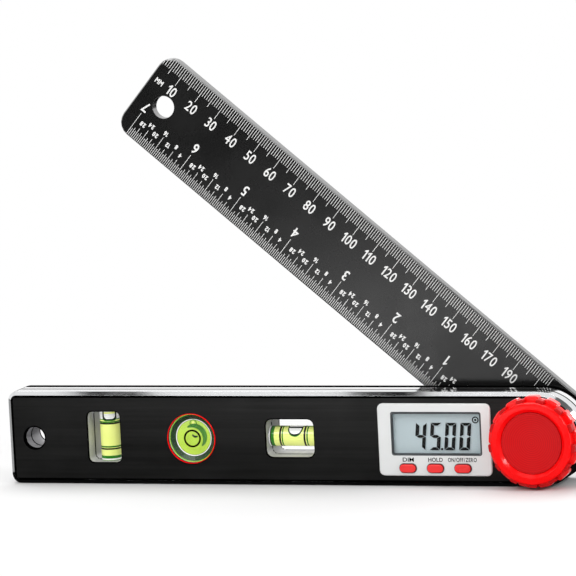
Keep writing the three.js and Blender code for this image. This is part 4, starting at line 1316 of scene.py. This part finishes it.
# %% Round vial: red ring
eye_low, eye_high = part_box("bullseye_ring")
eye_x, _, eye_z = box_centre("bullseye_ring")
eye_axis = (eye_x, 0, eye_z)
eye_outer = (eye_high.x - eye_low.x) / 2
eye_front = eye_low.y
ring_inner = eye_outer - 0.5 * mm
rim_outer = ring_inner + 0.35 * mm
ring_chamfer, ring_round, ring_height = 0.1 * mm, 0.25 * mm, 0.6 * mm
red_ring_work = bmesh.new()
add_lathe(red_ring_work, [
    (rim_outer, eye_high.y),
    (rim_outer, eye_front + ring_chamfer),
    (rim_outer + ring_chamfer, eye_front),
    *fillet(eye_outer - ring_round, eye_front + ring_round, ring_round, -90),
    (eye_outer, eye_front + ring_height),
    (eye_outer - ring_round, eye_front + ring_height),
    (eye_outer - ring_round, eye_high.y),
], eye_axis)
finish_piece("bullseye_ring_finished", red_ring_work, "body", [knob_red], ["bullseye_ring"])

# %% Round vial: cup
vial_low, vial_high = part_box("bullseye_vial")
cup_radius = (vial_high.x - vial_low.x) / 2
rim_depth, disc_depth = 1.9 * mm, 3.3 * mm
disc_edge = 6.75 * mm
cup_side = rim_outer - 0.02 * mm
eye_finishes = vial_finishes + [eye_lime, dark_green, eye_shade, deep_black]
EYE_LIME, DARK, SHADE, INK = range(4, 8)
# Each point has its radius, its depth behind the front of the ring, and the finish of the line after it.
cup_profile = [
    (0, disc_depth - 0.35 * mm, EYE_LIME),
    (0.4 * disc_edge, disc_depth - 0.3 * mm, EYE_LIME),
    (0.75 * disc_edge, disc_depth - 0.15 * mm, EYE_LIME),
    (disc_edge, disc_depth, BLACK),
    (disc_edge + 0.12 * mm, disc_depth, WHITE),
    (disc_edge + 0.45 * mm, disc_depth - 0.15 * mm, DARK),
    (disc_edge + 1.2 * mm, disc_depth - 0.8 * mm, DARK),
    (rim_outer - 0.7 * mm, rim_depth + 0.1 * mm, GREEN),
    (rim_outer - 0.45 * mm, rim_depth, EYE_LIME),
    (cup_side, rim_depth, GREEN),
    (cup_side, eye_high.y - 0.1 * mm - eye_front, GREEN),
    (cup_radius, eye_high.y - eye_front, GREEN),
    (cup_radius, vial_high.y - eye_front, GREEN),
    (0, vial_high.y - eye_front, GREEN),
]
cup_work = bmesh.new()
add_lathe(
    cup_work, [(radius, eye_front + depth) for radius, depth, zone in cup_profile], eye_axis,
    material=[zone for radius, depth, zone in cup_profile],
)
print("round vial: cup radius in mm", round(cup_radius / mm, 2))


# %% Round vial: painted shade and a dark mark on the disc
def add_strip(work, rows, front, rear, material):
    """A flat closed strip from rows of (x, z, x, z) edge pairs, between two depths."""
    sections = []
    for x0, z0, x1, z1 in rows:
        corners = ((x0, front, z0), (x1, front, z1), (x1, rear, z1), (x0, rear, z0))
        sections.append([work.verts.new(corner) for corner in corners])
    for one, two in zip(sections, sections[1:]):
        for corner in range(4):
            after = (corner + 1) % 4
            work.faces.new([one[corner], two[corner], two[after], one[after]]).material_index = material
    work.faces.new(sections[0][::-1]).material_index = material
    work.faces.new(sections[-1]).material_index = material


def arc_rows(centre_x, centre_z, radius, width, start, end, steps=28):
    """Edge pairs of an arc that swells from nothing to its width and back."""
    rows = []
    for step in range(steps + 1):
        share = step / steps
        turn = math.radians(start + (end - start) * share)
        half = max(0.02 * mm, width / 2 * math.sin(math.pi * share) ** 0.5)
        cosine, sine = math.cos(turn), math.sin(turn)
        rows.append((
            centre_x + (radius - half) * cosine, centre_z + (radius - half) * sine,
            centre_x + (radius + half) * cosine, centre_z + (radius + half) * sine,
        ))
    return rows


shade_depths = (eye_front + disc_depth - 0.42 * mm, eye_front + disc_depth - 0.1 * mm)
wide_arc = arc_rows(eye_x, eye_z, 4.6 * mm, 1.9 * mm, 122, -46)
small_arc = arc_rows(eye_x + 0.9 * mm, eye_z + 1.7 * mm, 1.4 * mm, 0.8 * mm, 200, 310)
# Painted shade: a dark green crescent round the top and right of the disc.
add_strip(cup_work, wide_arc, *shade_depths, SHADE)
add_strip(cup_work, small_arc, *shade_depths, DARK)

# %% Round vial: target circle, bubble and lid
lid_front, lid_back = eye_front + 0.95 * mm, eye_front + 1.65 * mm
print_depths = (lid_front - 0.27 * mm, lid_front - 0.15 * mm)
float_depths = (lid_back + 0.01 * mm, lid_back + 0.05 * mm)


def add_circle(work, centre, radius, width, depths, material, steps=64):
    add_ring(work, centre, radius - width / 2, radius + width / 2, *depths, steps=steps, material=material)


bubble_centre = (eye_x + 0.6 * mm, 0, eye_z + 5.8 * mm)
painted_glint_centre = (bubble_centre[0], 0, bubble_centre[2] + 0.3 * mm)
add_circle(cup_work, (eye_x + 0.3 * mm, 0, eye_z), 3.1 * mm, 0.68 * mm, print_depths, INK)
add_circle(cup_work, bubble_centre, 1.3 * mm, 0.28 * mm, float_depths, GREEN, 32)
# A painted highlight: a small disc of the brighter lime inside the bubble's outline.
add_ring(cup_work, painted_glint_centre, 0, 0.55 * mm, *float_depths, steps=24, material=LIME)
finish_piece("bullseye_vial_finished", cup_work, "body", eye_finishes, ["bullseye_vial"])
lid_side = ring_inner - 0.05 * mm
lid_work = bmesh.new()
add_lathe(lid_work, [
    (0, lid_front - 0.25 * mm),
    (0.5 * ring_inner, lid_front - 0.18 * mm),
    (0.85 * ring_inner, lid_front),
    (lid_side, lid_front + 0.2 * mm),
    (lid_side, lid_back),
    (0, lid_back),
], eye_axis)
finish_piece("bullseye_lid", lid_work, "body", [clear_lens])

# %% [markdown]
# ### Display
#
# The bezel frames a grey cell. The figures are thin black bars on the cell, each with cut ends, leaning a
# little, and their pale shadow is painted on the layer behind them as a shifted grey copy. A font would give
# rounder figures, so each bar is drawn from its own few corners, as the real cell has it.

# %% Bezel, lens and cell
window_x, window_z = 57.9 * mm, 20.2 * mm
window_width, window_height = 34.7 * mm, 15.8 * mm
shaded_wall_reach = 1.0 * mm


def bezel_or_gasket(face):
    """0 for the bezel and 1 for the walls of its window, painted dark as shade."""
    centre = face.calc_center_median()
    near_side = abs(centre.x - window_x) < window_width / 2 + shaded_wall_reach
    near_top = abs(centre.z - window_z) < window_height / 2 + shaded_wall_reach
    return 1 if near_side and near_top and looks_sideways(face) else 0


smooth_copy(
    "display_bezel", "body", [bezel_grey, screen_border], 0.15 * mm, choose=bezel_or_gasket,
)
smooth_copy("display_lens", "body", [clear_lens])
smooth_copy("lcd_panel", "body", [screen_grey])

# %% Painted shade: dark rims round the window and the buttons
# Each button has its label, the label's length in mm, and how far to its right the label stands, in mm.
BUTTONS = {"dim": ("DIM", 4.4, 0.2), "hold": ("HOLD", 5.7, 0.1), "zero": ("ON/OFF/ZERO", 11.3, -0.15)}
ink = 0.03 * mm
bezel_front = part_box("display_bezel")[0].y
rim_depths = (bezel_front - ink, bezel_front + 2 * ink)
# The outer edge of the window's rim is shifted right and up, so its painted shade is wider on those sides.
rim_shift = 0.12 * mm
border_work = bmesh.new()
add_frame(
    border_work,
    rounded_outline(window_x + rim_shift, window_z + rim_shift, 35.5 * mm, 16.7 * mm, 0.9 * mm),
    rounded_outline(window_x, window_z, window_width, window_height, 0.7 * mm),
    *rim_depths,
)
for name in BUTTONS:
    button = box_centre("button_" + name)
    add_frame(
        border_work,
        rounded_outline(button.x, button.z, 7.0 * mm, 3.8 * mm, 1.85 * mm),
        rounded_outline(button.x, button.z, 6.55 * mm, 3.35 * mm, 1.6 * mm),
        *rim_depths,
    )
finish_piece("screen_border", border_work, "body", [screen_border])


# %% Bars of a figure
def add_plate(work, outline, front, rear):
    """A flat plate with an outline in X and Z, between two depths."""
    near = [work.verts.new((x, front, z)) for x, z in outline]
    far = [work.verts.new((x, rear, z)) for x, z in outline]
    work.faces.new(near)
    work.faces.new(far[::-1])
    for index in range(len(outline)):
        after = (index + 1) % len(outline)
        work.faces.new([near[index], far[index], far[after], near[after]])


SEGMENTS = {"0": "abcdef", "4": "bcfg", "5": "acdfg"}
figure = {
    "width": 4.25 * mm, "height": 10.5 * mm, "upright": 1.42 * mm, "level": 1.15 * mm, "gap": 0.09 * mm,
    "lean": 0.1, "pitch": 5.83 * mm, "point": 0.85 * mm, "point_gap": 0.35 * mm,
}


def segment_outline(name):
    """The corners of one bar of a figure, from the figure's lower left corner. The ends are cut aslant."""
    width, height, gap = figure["width"], figure["height"], figure["gap"]
    upright, level = figure["upright"], figure["level"]
    middle, tip, cut = height / 2, 0.3 * upright, 1.2 * gap
    inner_left, inner_right = upright + gap, width - upright - gap
    if name == "g":
        below, above_it = middle - level / 2, middle + level / 2
        return [
            (tip + gap, middle), (inner_left, below), (inner_right, below),
            (width - tip - gap, middle), (inner_right, above_it), (inner_left, above_it),
        ]
    if name in "ad":
        bar = [(cut, 0), (width - cut, 0), (inner_right, level), (inner_left, level)]
        return bar if name == "d" else [(x, height - z) for x, z in bar[::-1]]
    bar = [
        (0, cut), (upright, level + gap), (upright, middle - level / 2 - gap), (tip, middle - gap),
        (0, middle - 3 * gap),
    ]
    if name in "bc":
        bar = [(width - x, z) for x, z in bar[::-1]]
    return bar if name in "ec" else [(x, height - z) for x, z in bar[::-1]]


def add_figures(work, text, left, low, front, rear):
    """Figures in a row, leaning. A point stands in the gap after a figure and takes no room."""
    point, point_x = figure["point"], figure["width"] + figure["point_gap"] - figure["pitch"]
    x = left
    for character in text:
        if character == ".":
            outlines = [[(point_x, 0), (point_x + point, 0), (point_x + point, point), (point_x, point)]]
        else:
            outlines = [segment_outline(name) for name in SEGMENTS[character]]
        for outline in outlines:
            add_plate(work, [(x + px + figure["lean"] * pz, low + pz) for px, pz in outline], front, rear)
        if character != ".":
            x += figure["pitch"]


# %% Figures on the display
reading = "45.00"
figures_left, figures_low = 48.65 * mm, 13.7 * mm
shadow_shift = 0.45 * mm
cell_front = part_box("lcd_panel")[0].y
figure_depths = (cell_front - 2 * ink, cell_front - ink)
shadow_depths = (cell_front - 0.7 * ink, cell_front - 0.3 * ink)
icon_centre, icon_radius, icon_line = (73.0 * mm, 0, 25.3 * mm), 1.32 * mm, 0.45 * mm
figures_work = bmesh.new()
add_figures(figures_work, reading, figures_left, figures_low, *figure_depths)
add_ring(figures_work, icon_centre, icon_radius - icon_line, icon_radius, *figure_depths, steps=40)
add_ring(figures_work, icon_centre, 0, icon_line, *figure_depths, steps=24)
finish_piece("display_figures", figures_work, "body", [segment_black])
# Painted shadow: a grey copy of the figures, shifted right and down, on the layer behind them.
shadow_work = bmesh.new()
add_figures(shadow_work, reading, figures_left + shadow_shift, figures_low - shadow_shift, *shadow_depths)
finish_piece("display_figure_shadows", shadow_work, "body", [segment_shadow])

# %% [markdown]
# ### Lettering
#
# The scales and the switches carry plain numbers and words. A text object becomes a mesh before it is
# placed. The letters are drawn narrow, as on the real print, by squeezing them along the line. The figure
# one is drawn from its own corners, because the font's has a foot that the real one lacks.

# %% Helpers for lettering
letter_cache = {}
letter_half, letter_gap = 0.01, 0.1
ONE_SHARES = [(0.2, 0), (0.38, 0), (0.38, 1), (0.25, 1), (0, 0.8), (0, 0.64), (0.2, 0.76)]


def extent(values):
    return max(values) - min(values)


def figure_one(weight):
    """Vertices and faces of a plain one, as tall as the font's zero."""
    zero = [point.y for point in letter_mesh("0", weight)[0]]
    foot, tall, count = min(zero), extent(zero), len(ONE_SHARES)
    points = [
        Vector((x * tall, foot + y * tall, depth))
        for depth in (letter_half, -letter_half) for x, y in ONE_SHARES
    ]
    faces = [tuple(range(count)), tuple(range(2 * count - 1, count - 1, -1))]
    faces += [(i, i + count, (i + 1) % count + count, (i + 1) % count) for i in range(count)]
    return points, faces


def font_letter(letter, weight):
    """Vertices and faces of a letter of the font, made a mesh."""
    curve = bpy.data.curves.new("lettering", "FONT")
    curve.body = letter
    curve.offset = weight
    curve.extrude = letter_half
    curve.resolution_u = 4
    holder = add_object("lettering", curve)
    bpy.context.view_layer.update()
    mesh = bpy.data.meshes.new_from_object(holder.evaluated_get(bpy.context.evaluated_depsgraph_get()))
    points = [vertex.co.copy() for vertex in mesh.vertices]
    faces = [tuple(polygon.vertices) for polygon in mesh.polygons]
    bpy.data.objects.remove(holder)
    bpy.data.meshes.remove(mesh)
    bpy.data.curves.remove(curve)
    return points, faces


def letter_mesh(letter, weight):
    """Vertices, faces and width of one flat letter of size one. Each letter is made only once."""
    if (letter, weight) not in letter_cache:
        points, faces = figure_one(weight) if letter == "1" else font_letter(letter, weight)
        left = Vector((min(point.x for point in points), 0, 0))
        points = [point - left for point in points]
        letter_cache[(letter, weight)] = (points, faces, max(point.x for point in points))
    return letter_cache[(letter, weight)]


def glyph_mesh(text, weight):
    """Vertices and faces of a flat text of size one, centred on its own box."""
    points, faces, along = [], [], 0.0
    for letter in text:
        letter_points, letter_faces, width = letter_mesh(letter, weight)
        first = len(points)
        points += [point + Vector((along, 0, 0)) for point in letter_points]
        faces += [tuple(first + index for index in face) for face in letter_faces]
        along += width + letter_gap
    low_y, high_y = min(point.y for point in points), max(point.y for point in points)
    middle = Vector(((along - letter_gap) / 2, (low_y + high_y) / 2, 0))
    return [point - middle for point in points], faces


def add_text(work, text, x, z, height, weight, squeeze=1.0, front=0.0, upside_down=False, span=None):
    """Text that faces forward, centred at x and z, with capitals of that height. span sets its length."""
    points, faces = glyph_mesh(text, weight)
    scale = height / extent([point.y for point in glyph_mesh("0", weight)[0]])
    if span:
        squeeze = span / (scale * extent([point.x for point in points]))
    turn = -1 if upside_down else 1
    depth_scale = ink / (2 * letter_half)
    made = [
        work.verts.new((
            x + turn * point.x * scale * squeeze,
            front + ink / 2 - point.z * depth_scale,
            z + turn * point.y * scale,
        ))
        for point in points
    ]
    for face in faces:
        work.faces.new([made[index] for index in face])


# %% Switch lettering and buttons
labels_work = bmesh.new()
label_z, label_front = 10.4 * mm, bezel_front - 1.2 * ink
for name, (text, length, shift) in BUTTONS.items():
    label_x = box_centre("button_" + name).x + shift * mm
    add_text(labels_work, text, label_x, label_z, 1.6 * mm, 0.016, front=label_front, span=length * mm)
finish_piece("switch_lettering", labels_work, "body", [segment_black])


def top_or_side(face):
    """0 for a button's top, which catches the light, and 1 for its side, painted a dark red as shade."""
    return 0 if face.normal.y < -0.5 else 1


for name in BUTTONS:
    smooth_copy(
        "button_" + name, name + "_button", [button_red, button_painted_shade], 0.2 * mm,
        choose=top_or_side,
    )

# %% [markdown]
# ### The printed scales
#
# A ruler's graduations follow a rule: one line every step, and a longer one every so many steps. That is a
# job for Geometry Nodes. The tree lays points along the scale, measures each point's number, picks the
# length for that number, and puts a thin bar on each point. The same function builds it for millimetres and
# for inches.


# %% Geometry Nodes: graduations
def graduation_tree(name, levels):
    """levels is how many times the lines get longer."""
    inputs = [
        ("Geometry", "geometry"), ("Finish", "material"), ("Count", "int", 10), ("First number", "int", 1),
        ("First place", "float", 0.0), ("Step", "float", 0.001), ("Edge", "float", 0.0),
        ("Side", "float", -1.0), ("Line width", "float", 0.0002), ("Ink", "float", 0.00003),
        ("Shortest", "float", 0.004),
    ]
    for level in range(levels):
        inputs += [(f"Every {level}", "int", 5), (f"Length {level}", "float", 0.006)]
    tree, given, result = new_group(name, "GeometryNodeTree", inputs, [("Geometry", "geometry")])
    line = put(tree, "GeometryNodeMeshLine", {
        "Count": given["Count"], "Start Location": combine(tree, X=given["First place"], Z=given["Edge"]),
        "Offset": combine(tree, X=given["Step"]),
    })
    number = calculate(tree, "ADD", put(tree, "GeometryNodeInputIndex").outputs[0], given["First number"])
    length = given["Shortest"]
    for level in range(levels):
        remainder = calculate(tree, "MODULO", number, given[f"Every {level}"])
        length = put(tree, "GeometryNodeSwitch", {
            "Switch": calculate(tree, "LESS_THAN", remainder, 0.5),
            "False": length,
            "True": given[f"Length {level}"],
        }, input_type="FLOAT").outputs[0]
    bar_size = combine(tree, X=given["Line width"], Y=given["Ink"], Z=1.0)
    bar = put(tree, "GeometryNodeMeshCube", {"Size": bar_size})
    half_side = calculate(tree, "MULTIPLY", given["Side"], 0.5)
    hung = put(tree, "GeometryNodeTransform", {
        "Geometry": bar.outputs[0], "Translation": combine(tree, Z=half_side),
    })
    bars = put(tree, "GeometryNodeInstanceOnPoints", {
        "Points": line.outputs[0], "Instance": hung.outputs[0],
        "Scale": combine(tree, X=1.0, Y=1.0, Z=length),
    })
    finish_tree(tree, bars.outputs[0], given["Finish"], result)
    return tree


# %% Helpers: fit a scale to the arm
arm_corner, end_margin = 6.0 * mm, 0.3 * mm


def trim_to_arm(mesh):
    """Shortens the lines of a scale where the arm's corners and its round end cut them off."""
    for vertex in mesh.vertices:
        x = vertex.co.x
        half = arm_half - end_margin
        if x < arm_corner:
            rounded = max(0.0, (arm_corner - end_margin) ** 2 - (arm_corner - x) ** 2)
            half = arm_half - arm_corner + math.sqrt(rounded)
        elif x > arm_reach:
            half = math.sqrt(max(0.0, (arm_half - end_margin) ** 2 - (x - arm_reach) ** 2))
        vertex.co.z = max(-half, min(half, vertex.co.z))
    return mesh


def on_arm(mesh):
    """Lays a mesh, drawn with X along the arm from its free end and Z over its width, on the arm's front."""
    mesh.transform(Matrix.Translation((0, -ink, 0)))
    mesh.transform(arm_place)
    return mesh


def print_scale(name, longer, values):
    """The lines of one scale. longer has how often each longer kind of line comes, and its length in mm."""
    inputs = {"Line width": 0.19 * mm, "Ink": ink, "Finish": white_ink, **values}
    for level, (every, length) in enumerate(longer):
        inputs[f"Every {level}"] = every
        inputs[f"Length {level}"] = length * mm
    lines = grow(name, graduation_tree(name, len(longer)), inputs)
    show(name, on_arm(trim_to_arm(lines)), "arm")


# %% Millimetre and inch graduations
edge_margin = 0.55 * mm
inch, inch_parts, inches = 25.4 * mm, 32, 7
inch_origin = arm_reach - 21.87 * mm
print_scale("millimetre_graduations", ((5, 5.9), (10, 7.8)), {
    "Count": 194, "First number": 1, "First place": 1.0 * mm, "Step": 1.0 * mm,
    "Edge": arm_half - edge_margin, "Side": -1.0, "Shortest": 4.1 * mm,
})
print_scale("inch_graduations", ((2, 3.9), (4, 4.8), (8, 6.3), (16, 8.2), (32, 9.9)), {
    "Count": inches * inch_parts + 1, "First number": 0,
    "First place": inch_origin, "Step": -inch / inch_parts,
    "Edge": edge_margin - arm_half, "Side": 1.0, "Shortest": 3.0 * mm,
})

# %% Numbers on the arm
millimetre_print = {"height": 4.1 * mm, "weight": 0.01, "squeeze": 0.78}
unit_print = {"height": 2.2 * mm, "weight": 0.03, "squeeze": 0.8}
inch_print = {"height": 4.2 * mm, "weight": 0.015, "squeeze": 0.85, "upside_down": True}
part_print = {"height": 1.9 * mm, "weight": 0.05, "squeeze": 0.85, "upside_down": True}
part_rows = {4: -10.6, 8: -8.9, 12: -10.6, 16: -7.5, 20: -10.6, 24: -8.85, 28: -10.6}
numbers_work = bmesh.new()
for tens in range(1, 19):
    # On the real arm the eighteenth number is printed as 190.
    value = 190 if tens == 18 else tens * 10
    add_text(numbers_work, str(value), tens * 10 * mm + 0.2 * mm, 7.05 * mm, **millimetre_print)
add_text(numbers_work, "MM", 4.1 * mm, 6.8 * mm, **unit_print)
for value in range(1, inches + 1):
    add_text(numbers_work, str(value), inch_origin - value * inch, -4.5 * mm, **inch_print)
for whole in range(inches):
    for part, row in part_rows.items():
        place = inch_origin - (whole + part / inch_parts) * inch
        add_text(numbers_work, str(part), place, row * mm, **part_print)
bmesh.ops.recalc_face_normals(numbers_work, faces=numbers_work.faces)
show("arm_numbers", on_arm(mesh_of("arm_numbers", numbers_work, [white_ink])), "arm")

# %% [markdown]
# ### Parts inside
#
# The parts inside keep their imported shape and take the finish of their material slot.

# %% Parts inside
inner_finishes = {
    "steel": steel,
    "brass": brass,
    "white_plastic": white_plastic,
    "rubber_black": rubber_black,
    "board_green": board_green,
    "amber_film": amber_film,
    "black_plastic": cover_black,
    "red_plastic": button_red,
}
slot_of = {part["node"]: part["material_slot"] for part in record["subparts"]}
dressed = 0
for name, part in frame["nodes"].items():
    if part.hide_render:
        continue
    for place in part.material_slots:
        place.material = inner_finishes[slot_of[name]]
    dressed += 1
print("parts that keep their packed shape:", dressed)
